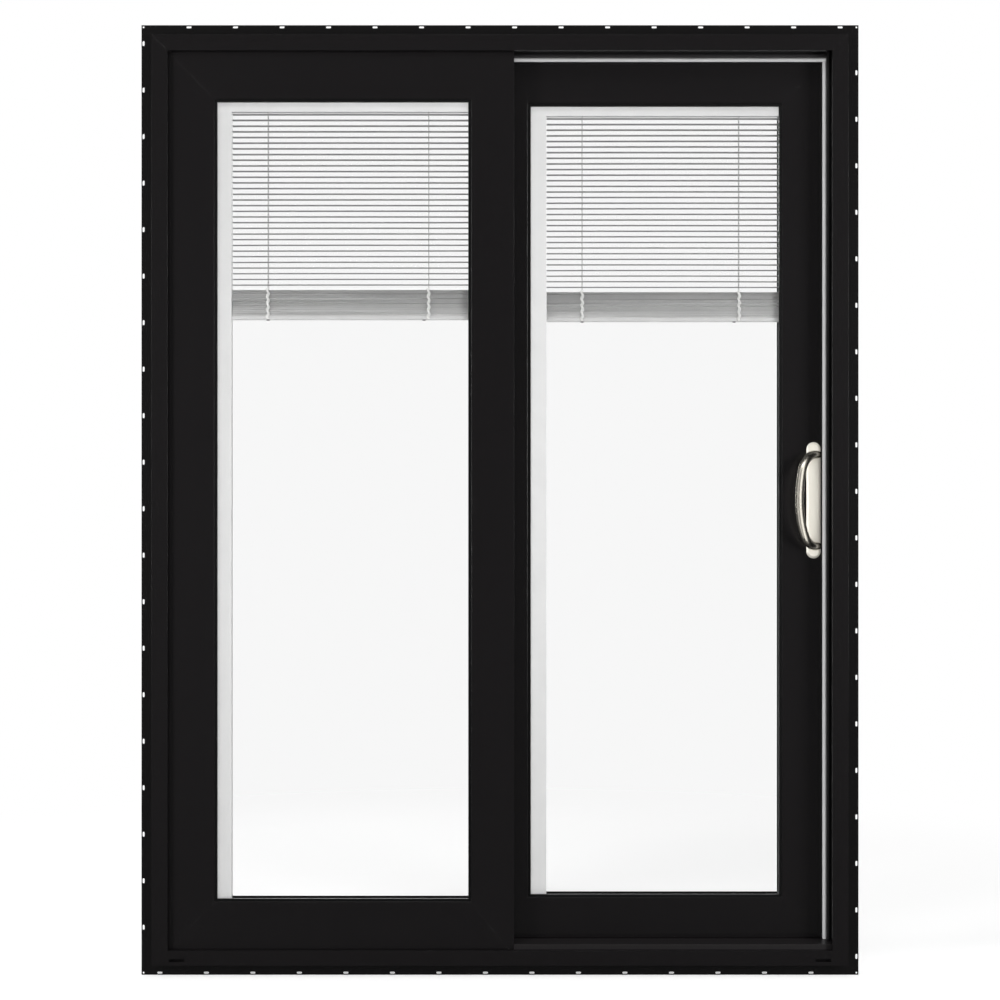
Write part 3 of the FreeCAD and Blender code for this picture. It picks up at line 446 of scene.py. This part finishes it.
def mesh_piece(name, points, faces, materials, body, smooth=False, which=None):
    """One object from points in metres and lists of corners. which gives each face its material."""
    mesh = bpy.data.meshes.new(name)
    mesh.from_pydata([tuple(p) for p in points], [], faces)
    for material in materials:
        mesh.materials.append(material)
    if which:
        mesh.polygons.foreach_set("material_index", which)
    mesh.polygons.foreach_set("use_smooth", [smooth] * len(faces))
    mesh.update()
    piece = bpy.data.objects.new(name, mesh)
    bpy.context.collection.objects.link(piece)
    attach(piece, body)
    print(f"{name}: {len(points)} points, {len(faces)} faces, rides on {body}")
    return piece


def grid_faces(rows, columns, first=0, closed=False):
    """Quads between rows of points. With closed, each row joins up with its own start."""
    quads = []
    for r in range(rows - 1):
        for c in range(columns if closed else columns - 1):
            after = (c + 1) % columns
            quads.append((first + r * columns + c, first + r * columns + after,
                          first + (r + 1) * columns + after, first + (r + 1) * columns + c))
    return quads


# %% [markdown]
# ## One strip
#
# A slat is a strip of thin aluminium, rolled to a low crown so that it stays stiff. A plane with a
# Solidify modifier would do. But the slat is drawn in two copies of its one pale enamel, grey on its
# faces as painted shade and near-white on its edges as the lit copy, and those are easy to tell apart
# when the script lays the faces in a known order: the lower skin, the upper skin, and then the two edges.

# %% Thin crowned strips
SLATS_IN_ALL = 138
SLATS_FREE = 31
STRIP_THICK = 0.2 * MM
POINTS_ACROSS = 7
POINTS_ALONG = 13
# slot 0 holds the grey faces, which are painted shade, and slot 1 the near-white edges, the lit copy
ENAMEL_SLOT, EDGE_SLOT = 0, 1


def strips(name, body, ends, rows):
    """Strips from end to end. A row is middle and level along the strip, half width, crown and tilt."""
    share = np.linspace(-1, 1, POINTS_ACROSS)
    spans = len(ends) - 1
    points = []
    faces = []
    which = []
    for middle, level, half, crown, tilt in rows:
        for skin in (0, STRIP_THICK):
            faces += grid_faces(len(ends), POINTS_ACROSS, len(points))
            for k, end in enumerate(ends):
                for s in share:
                    points.append((end, middle[k] + half * s,
                                   level[k] + crown * (1 - s * s) - tilt * s + skin))
        upper = len(points) - len(ends) * POINTS_ACROSS
        lower = upper - len(ends) * POINTS_ACROSS
        for edge in (0, POINTS_ACROSS - 1):
            for k in range(spans):
                a, b = k * POINTS_ACROSS + edge, (k + 1) * POINTS_ACROSS + edge
                faces.append((lower + a, lower + b, upper + b, upper + a))
        which += [ENAMEL_SLOT] * (2 * (POINTS_ACROSS - 1) * spans) + [EDGE_SLOT] * (2 * spans)
    return mesh_piece(name, points, faces, (slat_enamel_painted_shade, lit_slat_edge), body, which=which)


# %% [markdown]
# ## Hanging slats
#
# The free slats hang 12.4 mm apart with a slight tilt, so that from the front each shows as a thin grey
# line with a bright edge; the grey of the faces is painted shade. The size drawing holds them too, but as
# straight copies. Real ones lean and sag by parts of a millimetre, and the eye notices when they don't. A
# seeded random row gives each slat its own lean and sag, the same on every run.

# %% Slats that hang free
SLAT_PITCH = 12.4 * MM
SLAT_CROWN = 0.8 * MM
SLAT_TILT = 0.55 * MM
LIFTED = 0.7 * MM  # brings the low edge of a tilted slat up to the foot of the drawn one
LEAN_MM = 0.4
SAG_MM = 0.35


def hanging(side, body, seed):
    (x0, y0, z0), (x1, y1, _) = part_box(f"{side}_blind_slats")
    chance = np.random.default_rng(seed)
    ends = np.linspace(x0, x1, POINTS_ALONG)
    share = np.linspace(0, 1, POINTS_ALONG)
    middle = np.full(POINTS_ALONG, (y0 + y1) / 2)
    rows = []
    for k in range(SLATS_FREE):
        lean = chance.uniform(-LEAN_MM, LEAN_MM) * MM
        bow = chance.uniform(0.0, SAG_MM) * MM
        level = z0 + k * SLAT_PITCH + LIFTED + lean * (share - 0.5) + bow * np.sin(share * math.pi)
        rows.append((middle, level, (y1 - y0) / 2, SLAT_CROWN, SLAT_TILT))
    piece = strips(f"{side}_hanging_slats", body, ends, rows)
    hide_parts(f"{side}_blind_slats")


# %% [markdown]
# ## Gathered slats
#
# The other 107 slats lie gathered above the bottom rail. The size drawing holds them as one block. Here
# they become what they are: thin strips, one upon the other. The lower ones are pressed close by the
# weight, and the upper ones lie looser. Every 6 to 14 slats the ladder leaves a gap that is wider at one
# end. Each strip also lies a little before or behind the one below it. This makes the uneven grey bands
# that a gathered blind shows from the front. A striped material would be lighter, but it would look flat
# from the side and from above.

# %% Slats that lie gathered
STACK_CROWN = 0.9 * MM
STEPS_LOW_TO_HIGH = (0.2, 0.6)  # room for each strip, as shares of each other
STEP_VARIES = (0.85, 1.15)
SLATS_TO_A_GAP = (6, 15)
GAP_SIZE, GAP_LOWEST = (0.3, 0.9), 0.5
GAP_WAVE, GAP_TURNS = 0.8, (1, 4)
DRIFT_STEP_MM, DRIFT_MOST_MM, SHIFT_MM = 0.4, 0.8, 0.3
SWAY_MM, SWAY_TURNS = 0.3, (2, 5)
ANY_PHASE = (0, 6)  # about one full turn, in radians
EDGE_ROOM = 1.5 * MM  # what drift, shift and sway may take on each side


def slow_wave(chance, share, size, turns):
    """A gentle wave along a slat, at most size high, of a random length and start."""
    return size * np.sin(share * chance.uniform(*turns) + chance.uniform(*ANY_PHASE))


def gathered(side, body, seed):
    (x0, y0, z0), (x1, y1, z1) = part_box(f"{side}_blind_stack")
    count = SLATS_IN_ALL - SLATS_FREE
    chance = np.random.default_rng(seed)
    ends = np.linspace(x0, x1, POINTS_ALONG)
    share = np.linspace(0, 1, POINTS_ALONG)
    # the lower strips are pressed close, the upper ones lie loose
    steps = np.repeat(np.linspace(*STEPS_LOW_TO_HIGH, count)[:, None], POINTS_ALONG, axis=1)
    steps *= chance.uniform(*STEP_VARIES, (count, 1))
    # gaps open between bundles, wider at one end than at the other
    place = int(chance.integers(*SLATS_TO_A_GAP))
    while place < count:
        wave = 1 + slow_wave(chance, share, GAP_WAVE, GAP_TURNS)
        steps[place] += chance.uniform(*GAP_SIZE) * (GAP_LOWEST + place / count) * wave
        place += int(chance.integers(*SLATS_TO_A_GAP))
    room = z1 - z0 - STACK_CROWN - STRIP_THICK
    levels = z0 + np.cumsum(steps, axis=0) / steps.sum(axis=0) * room
    # each strip wanders a little from the one below it, but never far from the middle
    drift = np.cumsum(chance.uniform(-DRIFT_STEP_MM, DRIFT_STEP_MM, count))
    drift = np.clip(drift - drift.mean(), -DRIFT_MOST_MM, DRIFT_MOST_MM)
    drift += chance.uniform(-SHIFT_MM, SHIFT_MM, count)
    half = (y1 - y0) / 2 - EDGE_ROOM
    rows = []
    for k in range(count):
        sway = slow_wave(chance, share, SWAY_MM, SWAY_TURNS)
        rows.append(((y0 + y1) / 2 + (drift[k] + sway) * MM, levels[k], half, STACK_CROWN, 0.0))
    piece = strips(f"{side}_gathered_slats", body, ends, rows)
    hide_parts(f"{side}_blind_stack")


for seed, (side, body) in enumerate(SIDES.items(), start=11):
    hanging(side, body, seed + 10)
    gathered(side, body, seed)

# %% [markdown]
# ## A tube for any cord
#
# A curve with a bevel would do for one cord, but the rungs alone come to more than a hundred. So one
# small function lays a tube round any line of points, and all the cords of a blind become one mesh. Six
# sides are enough for a cord that is one pixel wide.

# %% A tube round a line of points
def tube(points, radius, first, sides=6):
    """Rings round a line, with the quads between them and a cap on each end."""
    path = np.array(points, dtype=float)
    ahead = np.gradient(path, axis=0)
    ahead /= np.linalg.norm(ahead, axis=1)[:, None]
    one = np.cross(ahead, (1.0, 0.0, 0.0))
    one /= np.linalg.norm(one, axis=1)[:, None]
    two = np.cross(ahead, one)
    turn = np.arange(sides) / sides * 2 * math.pi
    round_it = np.cos(turn)[:, None] * one[:, None] + np.sin(turn)[:, None] * two[:, None]
    rings = path[:, None] + radius * round_it
    faces = grid_faces(len(path), sides, first, closed=True)
    last = first + (len(path) - 1) * sides
    faces.append(tuple(range(first + sides - 1, first - 1, -1)))
    faces.append(tuple(range(last, last + sides)))
    return rings.reshape(-1, 3), faces


# %% [markdown]
# ## Cords and plugs
#
# Each blind hangs in two ladders of thin cord: a string before the slats, a string behind them, and a
# rung under every slat. A lift cord runs down through the middle and pulls the bottom rail up. The
# upright strings came with the door. The rungs and the lift cord are made here.
#
# Where the slats lie gathered, the slack of the ladder has to go somewhere: it folds into a zigzag
# bundle that hangs over the front of them. Three strands side by side, each swaying from left to right
# and a little out of step with its neighbour, look like that bundle. A rope simulation would take far
# longer for something ten pixels wide.
#
# Under the bottom rail each ladder ends in a knot that a small round plug holds in place. A squashed
# sphere has its shape. It is written as rings of points, like everything else on these blinds.

# %% Ladders, lift cords and bundles
CORD_HALF = 0.4 * MM  # half of an upright string
SLAT_RISE = 2.6 * MM  # from a slat's hole up to the top of its drawn box
RUNG_DROP, RUNG_RADIUS = 0.3 * MM, 0.25 * MM
LIFT_SWAY, LIFT_RADIUS = 1.1 * MM, 0.45 * MM
STRANDS, STRAND_RADIUS, STRAND_APART = 3, 1.0 * MM, 2.1 * MM
LOOP, LOOP_SWAY, LOOP_DEPTH, LOOP_LAG = 14.5 * MM, 1.9 * MM, 0.5 * MM, 0.35
BUNDLE_OVER, BUNDLE_UNDER, BUNDLE_POINTS = 3 * MM, 1 * MM, 90
BEFORE_STRING = 0.2 * MM


def ladder(side, body):
    (x0, y0, z0), (x1, y1, _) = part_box(f"{side}_blind_cords")
    slats_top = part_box(f"{side}_blind_slats")[1][2]
    stack_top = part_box(f"{side}_blind_stack")[1][2]
    points = []
    faces = []
    which = []

    def lay(path, radius, slot):
        rings, quads = tube(path, radius, len(points))
        points.extend(rings)
        faces.extend(quads)
        which.extend([slot] * len(quads))

    levels = [slats_top - SLAT_RISE - k * SLAT_PITCH for k in range(SLATS_FREE)]
    bundle = np.linspace(stack_top + BUNDLE_OVER, z0 + BUNDLE_UNDER, BUNDLE_POINTS)
    for across in (x0 + CORD_HALF, x1 - CORD_HALF):
        for level in levels:
            lay([(across, y0 + CORD_HALF, level - RUNG_DROP),
                 (across, y1 - CORD_HALF, level - RUNG_DROP)], RUNG_RADIUS, 0)
        # the lift cord sways a little from slat to slat
        lay([(across + (LIFT_SWAY if k % 2 else -LIFT_SWAY), (y0 + y1) / 2, level)
             for k, level in enumerate(levels)], LIFT_RADIUS, 0)
        for strand in range(STRANDS):
            turn = (bundle - bundle[0]) / LOOP * 2 * math.pi + LOOP_LAG * strand
            sway = LOOP_SWAY * np.sin(turn) + (strand - 1) * STRAND_APART
            # to and fro, each strand waves half as fast as from left to right
            depth = y0 - BEFORE_STRING + LOOP_DEPTH * np.cos(0.5 * turn + 2 * strand)
            lay(np.stack([across + sway, depth, bundle], axis=1), STRAND_RADIUS, 1)
    # slot 0, rungs and lift cord, is grey as painted shade; slot 1, the bundle, is the cord's own
    # near-white
    mesh_piece(f"{side}_ladder_and_lift_cords", points, faces, (shaded_cord_thread, loop_thread), body,
               smooth=True, which=which)


# %% Plugs under the bottom rails
PLUG_RINGS, PLUG_SIDES = 7, 16
PLUG_RADIUS, PLUG_HALF_HIGH = 4.5 * MM, 2.0 * MM
PLUG_FORWARD, PLUG_DROP = 3.5 * MM, 0.3 * MM
RIGHT_PLUG_IN = 10.9 * MM  # the right plug sits inside its ladder, the left one right under it


def cord_plug(name, body, middle):
    """A low round button, wider than it is high."""
    points = []
    for r in range(PLUG_RINGS):
        up = math.pi * (r + 0.5) / PLUG_RINGS - math.pi / 2
        for c in range(PLUG_SIDES):
            turn = 2 * math.pi * c / PLUG_SIDES
            points.append((middle[0] + PLUG_RADIUS * math.cos(up) * math.cos(turn),
                           middle[1] + PLUG_RADIUS * math.cos(up) * math.sin(turn),
                           middle[2] + PLUG_HALF_HIGH * math.sin(up)))
    faces = grid_faces(PLUG_RINGS, PLUG_SIDES, closed=True)
    faces.append(tuple(range(PLUG_SIDES - 1, -1, -1)))
    faces.append(tuple(range((PLUG_RINGS - 1) * PLUG_SIDES, PLUG_RINGS * PLUG_SIDES)))
    mesh_piece(name, points, faces, (plug_plastic,), body, smooth=True)


for side, body in SIDES.items():
    ladder(side, body)
    (x0, y0, z0), (x1, y1, _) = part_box(f"{side}_blind_cords")
    for end, across in (("left", x0 + CORD_HALF), ("right", x1 - RIGHT_PLUG_IN)):
        cord_plug(f"{side}_{end}_cord_plug", body,
                  (across, (y0 + y1) / 2 - PLUG_FORWARD, z0 - PLUG_DROP))

# %% [markdown]
# ## The room around the door
#
# The photograph shows the door in front of plain white. What the camera sees beyond the door is white,
# and so is what glass and mirrors see straight behind it. The rest of the world is dim, because a bright
# room in front would turn the black vinyl grey. A painted backdrop would need a wall that fits every
# view. A world that knows which ray asks has no edges at all.

# %% World
FRONT_ROOM = 0.09
BEHIND_FROM, BEHIND_TO = 0.75, 0.9  # how straight a mirrored ray has to go back to see the white

world = bpy.data.worlds.new("studio")
bpy.context.scene.world = world
world.use_nodes = True
tree = world.node_tree
tree.nodes.clear()
rays = add(tree, "ShaderNodeLightPath")
way = add(tree, "ShaderNodeTexCoord")
split = add(tree, "ShaderNodeSeparateXYZ", {"Vector": way.outputs["Generated"]})
behind = add(tree, "ShaderNodeMapRange", {
    "Value": split.outputs["Y"], "From Min": BEHIND_FROM, "From Max": BEHIND_TO})
mirrored = add(tree, "ShaderNodeMath", {
    0: rays.outputs["Is Glossy Ray"], 1: behind.outputs["Result"]}, operation="MULTIPLY")
through = add(tree, "ShaderNodeMath", {
    0: rays.outputs["Is Camera Ray"], 1: rays.outputs["Is Transmission Ray"]}, operation="MAXIMUM")
seen = add(tree, "ShaderNodeMath", {
    0: through.outputs["Value"], 1: mirrored.outputs["Value"]}, operation="MAXIMUM")
dim = add(tree, "ShaderNodeBackground", {"Color": WHITE, "Strength": FRONT_ROOM})
bright = add(tree, "ShaderNodeBackground", {"Color": WHITE, "Strength": 1.0})
shown = add(tree, "ShaderNodeMixShader", {
    0: seen.outputs["Value"], 1: dim.outputs["Background"], 2: bright.outputs["Background"]})
add(tree, "ShaderNodeOutputWorld", {"Surface": shown.outputs["Shader"]})
print("the room in front is at", FRONT_ROOM, "of the white behind")

# %% [markdown]
# ## Lamps
#
# Large soft lamps stand to the left, to the right and above, well to the side of the view, so that the
# black vinyl keeps its shape without mirroring them. A fourth lights the room side from behind. Area
# lamps do this. Point lamps would leave hard shadows in every groove. The strength of each lamp is not
# given in watts but as the share of full white that it alone would give a white card at the door, and
# the watts follow from how far away it stands.

# %% Soft lamps
MIDDLE = Vector((0.0, 0.0, 1.0))


def softbox(name, place, size, share, target=MIDDLE):
    """A flat soft lamp. Its share is how bright it alone makes a white card that faces it at the door."""
    lamp = bpy.data.lights.new(name, "AREA")
    lamp.shape = "RECTANGLE"
    lamp.size, lamp.size_y = size
    reach = Vector(place) - target
    lamp.energy = share * math.pi ** 2 * reach.length_squared
    thing = bpy.data.objects.new(name, lamp)
    bpy.context.collection.objects.link(thing)
    thing.location = place
    thing.rotation_euler = (-reach).to_track_quat("-Z", "Y").to_euler()
    print(f"{name:14s} {lamp.energy:6.1f} W")
    return thing


left_lamp = softbox("left softbox", (-3.6, -2.8, 1.5), (1.2, 2.4), 0.56)
right_lamp = softbox("right softbox", (3.4, -2.8, 1.6), (1.2, 2.4), 0.58)
softbox("top softbox", (0.0, -2.4, 4.4), (2.4, 1.2), 0.17)
softbox("rear softbox", (-1.0, 3.4, 2.8), (2.4, 1.8), 0.5)

# %% [markdown]
# ## The floor
#
# The floor is pale paper. Near the door it keeps the soft shadow, and farther away it fades to plain
# white, so that no line shows where the paper ends and the white begins. The fade is measured on the
# floor itself, from the middle of the door outwards. The camera sees the paper a little brighter than
# the lamps make it, and more so in front of the door than behind it, where the rear lamp helps. Mirrors
# look through the paper into the dim room, because a bright floor mirrored in the low front of the door
# would turn the black vinyl grey.

# %% Paper
FADE_FROM, FADE_TO = 0.9, 2.6
GLOW_FRONT, GLOW_BACK = 0.66, 0.44
GLOW_TURNS = 0.3  # the glow changes over this far before and behind the door
PAPER_GRAIN_MM = 30.0
PAPER_ROUGH = (0.8, 0.9)


def paper_floor():
    material, tree = new_material("pale paper floor")
    speck = grain(tree, PAPER_GRAIN_MM, 2.0)
    matt = add(tree, "ShaderNodeMapRange", {
        "Value": speck.outputs["Fac"], "To Min": PAPER_ROUGH[0], "To Max": PAPER_ROUGH[1]})
    rays = add(tree, "ShaderNodeLightPath")
    place = add(tree, "ShaderNodeTexCoord")
    depth = add(tree, "ShaderNodeSeparateXYZ", {"Vector": place.outputs["Object"]})
    glow_here = add(tree, "ShaderNodeMapRange", {
        "Value": depth.outputs["Y"], "From Min": -GLOW_TURNS, "From Max": GLOW_TURNS,
        "To Min": GLOW_FRONT, "To Max": GLOW_BACK})
    lift = add(tree, "ShaderNodeMath", {
        0: rays.outputs["Is Camera Ray"], 1: glow_here.outputs["Result"]}, operation="MULTIPLY")
    paper = add(tree, "ShaderNodeBsdfPrincipled", {
        "Base Color": hex_colour("F4F4F4"), "Roughness": matt.outputs["Result"],
        "Emission Color": WHITE, "Emission Strength": lift.outputs["Value"]})
    away = add(tree, "ShaderNodeVectorMath", {0: place.outputs["Object"]}, operation="LENGTH")
    faded = add(tree, "ShaderNodeMapRange", {
        "Value": away.outputs["Value"], "From Min": FADE_FROM, "From Max": FADE_TO},
        interpolation_type="SMOOTHSTEP")
    seen = add(tree, "ShaderNodeMath", {
        0: rays.outputs["Is Camera Ray"], 1: rays.outputs["Is Transmission Ray"]}, operation="MAXIMUM")
    share = add(tree, "ShaderNodeMath", {
        0: seen.outputs["Value"], 1: faded.outputs["Result"]}, operation="MULTIPLY")
    glow = add(tree, "ShaderNodeEmission", {"Color": WHITE, "Strength": 1.0})
    far = add(tree, "ShaderNodeMixShader", {
        0: share.outputs["Value"], 1: paper.outputs["BSDF"], 2: glow.outputs["Emission"]})
    nothing = add(tree, "ShaderNodeBsdfTransparent", {"Color": WHITE})
    mixed = add(tree, "ShaderNodeMixShader", {
        0: rays.outputs["Is Glossy Ray"], 1: far.outputs["Shader"], 2: nothing.outputs["BSDF"]})
    add(tree, "ShaderNodeOutputMaterial", {"Surface": mixed.outputs["Shader"]})
    return material


# %% The sheet of paper
PAPER_HALF = 6  # metres from the door to each edge
UNDER_DOOR = 0.5 * MM

corners = [(x * PAPER_HALF, y * PAPER_HALF, 0) for x, y in ((-1, -1), (1, -1), (1, 1), (-1, 1))]
floor_mesh = bpy.data.meshes.new("floor")
floor_mesh.from_pydata(corners, [], [(0, 1, 2, 3)])
floor_mesh.materials.append(paper_floor())
floor = bpy.data.objects.new("floor", floor_mesh)
bpy.context.collection.objects.link(floor)
floor.location.z = low[2] - UNDER_DOOR
print("the paper lies at", round(floor.location.z, 4), "metres")

# %% [markdown]
# ## Boards of light for the handle
#
# Metal shows what it mirrors. In a room dim enough for black vinyl, a nickel handle goes dull, and a round
# pull shows each small lamp as a hard white streak. A photographer helps it with tall bright boards, shaded
# so that they fall on the handle and not on the door, and with flags that keep the lamps off it. The pull
# bows outwards, so its upper arm mirrors what is high above and its lower arm what is low down. That is
# why the boards are far taller than the door. Blender does the shading with light linking: a lamp is told
# which pieces it reaches or leaves out, and that the floor does not block it.

# %% Light for the handle alone
def linked(name, pieces, state="INCLUDE"):
    """A set of pieces for light linking, either the only ones a lamp knows or the ones it leaves out."""
    known = bpy.data.collections.new(name)
    for piece in pieces:
        known.objects.link(piece)
    for entry in known.collection_objects:
        entry.light_linking.link_state = state
    return known


pulls = [nodes["outside_pull"], nodes["inside_pull"]]
plates = [nodes["outside_handle_plate"], nodes["inside_handle_plate"]]
lit = linked("lit by the handle boards", pulls + plates + [nodes["thumb_latch"]])
not_the_floor = linked("let the boards through", [floor], "EXCLUDE")
(x0, y0, z0), (x1, _, z1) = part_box("outside_handle_plate")
handle_middle = Vector(((x0 + x1) / 2, y0, (z0 + z1) / 2))
for board in (softbox("front board", (2.2, -4.6, 1.0), (4.8, 18.0), 1.9, handle_middle),
              softbox("left board", (-4.0, -3.5, 1.0), (4.0, 16.0), 0.5, handle_middle)):
    board.light_linking.receiver_collection = lit
    board.light_linking.blocker_collection = not_the_floor

# %% [markdown]
# ## A board of light for the pale pieces
#
# The pale pieces have the opposite trouble. They lie deep behind the edges of the frame, and a lamp at the
# side draws the shadow of each edge across them. They get one soft board straight from the front instead,
# and the two side lamps leave them out. The same two lamps leave out the pulls, and the right one leaves
# out the handle plates.

# %% Light for the pale pieces alone
PALE_PARTS = ("blind_head", "blind_channel", "weatherstrip")

pale = [piece for name, piece in nodes.items() if any(part in name for part in PALE_PARTS)]
pale_board = softbox("pale board", (0.0, -4.6, 1.3), (2.4, 2.4), 0.66)
pale_board.light_linking.receiver_collection = linked("lit by the pale board", pale)
left_lamp.light_linking.receiver_collection = linked(
    "kept out of the left lamp", pulls + pale, "EXCLUDE")
right_lamp.light_linking.receiver_collection = linked(
    "kept out of the right lamp", pulls + plates + pale, "EXCLUDE")
print(len(pale), "pale pieces have their own board")

# %% [markdown]
# ## The camera
#
# The photograph was taken straight on, from about four metres: at that distance the panel that stands
# farther back shows as much smaller as it does there. The camera stands at half the height of the door
# and looks level, so that no edge leans, and the lens is as long as the door's height in the picture
# asks.

# %% Camera
CAMERA_AWAY, CAMERA_UP = 4.0, 1.00965  # metres
SENSOR_MM, LENS_MM = 36.0, 65.9

lens = bpy.data.cameras.new("camera")
lens.sensor_width = SENSOR_MM
lens.lens = LENS_MM
camera = bpy.data.objects.new("camera", lens)
bpy.context.collection.objects.link(camera)
camera.location = (0.0, -CAMERA_AWAY, CAMERA_UP)
camera.rotation_euler = (math.radians(90), 0, 0)
bpy.context.scene.camera = camera
bpy.context.scene.view_settings.view_transform = "Standard"
print("the picture is", round(CAMERA_AWAY * SENSOR_MM / LENS_MM, 3), "metres wide at the wall")
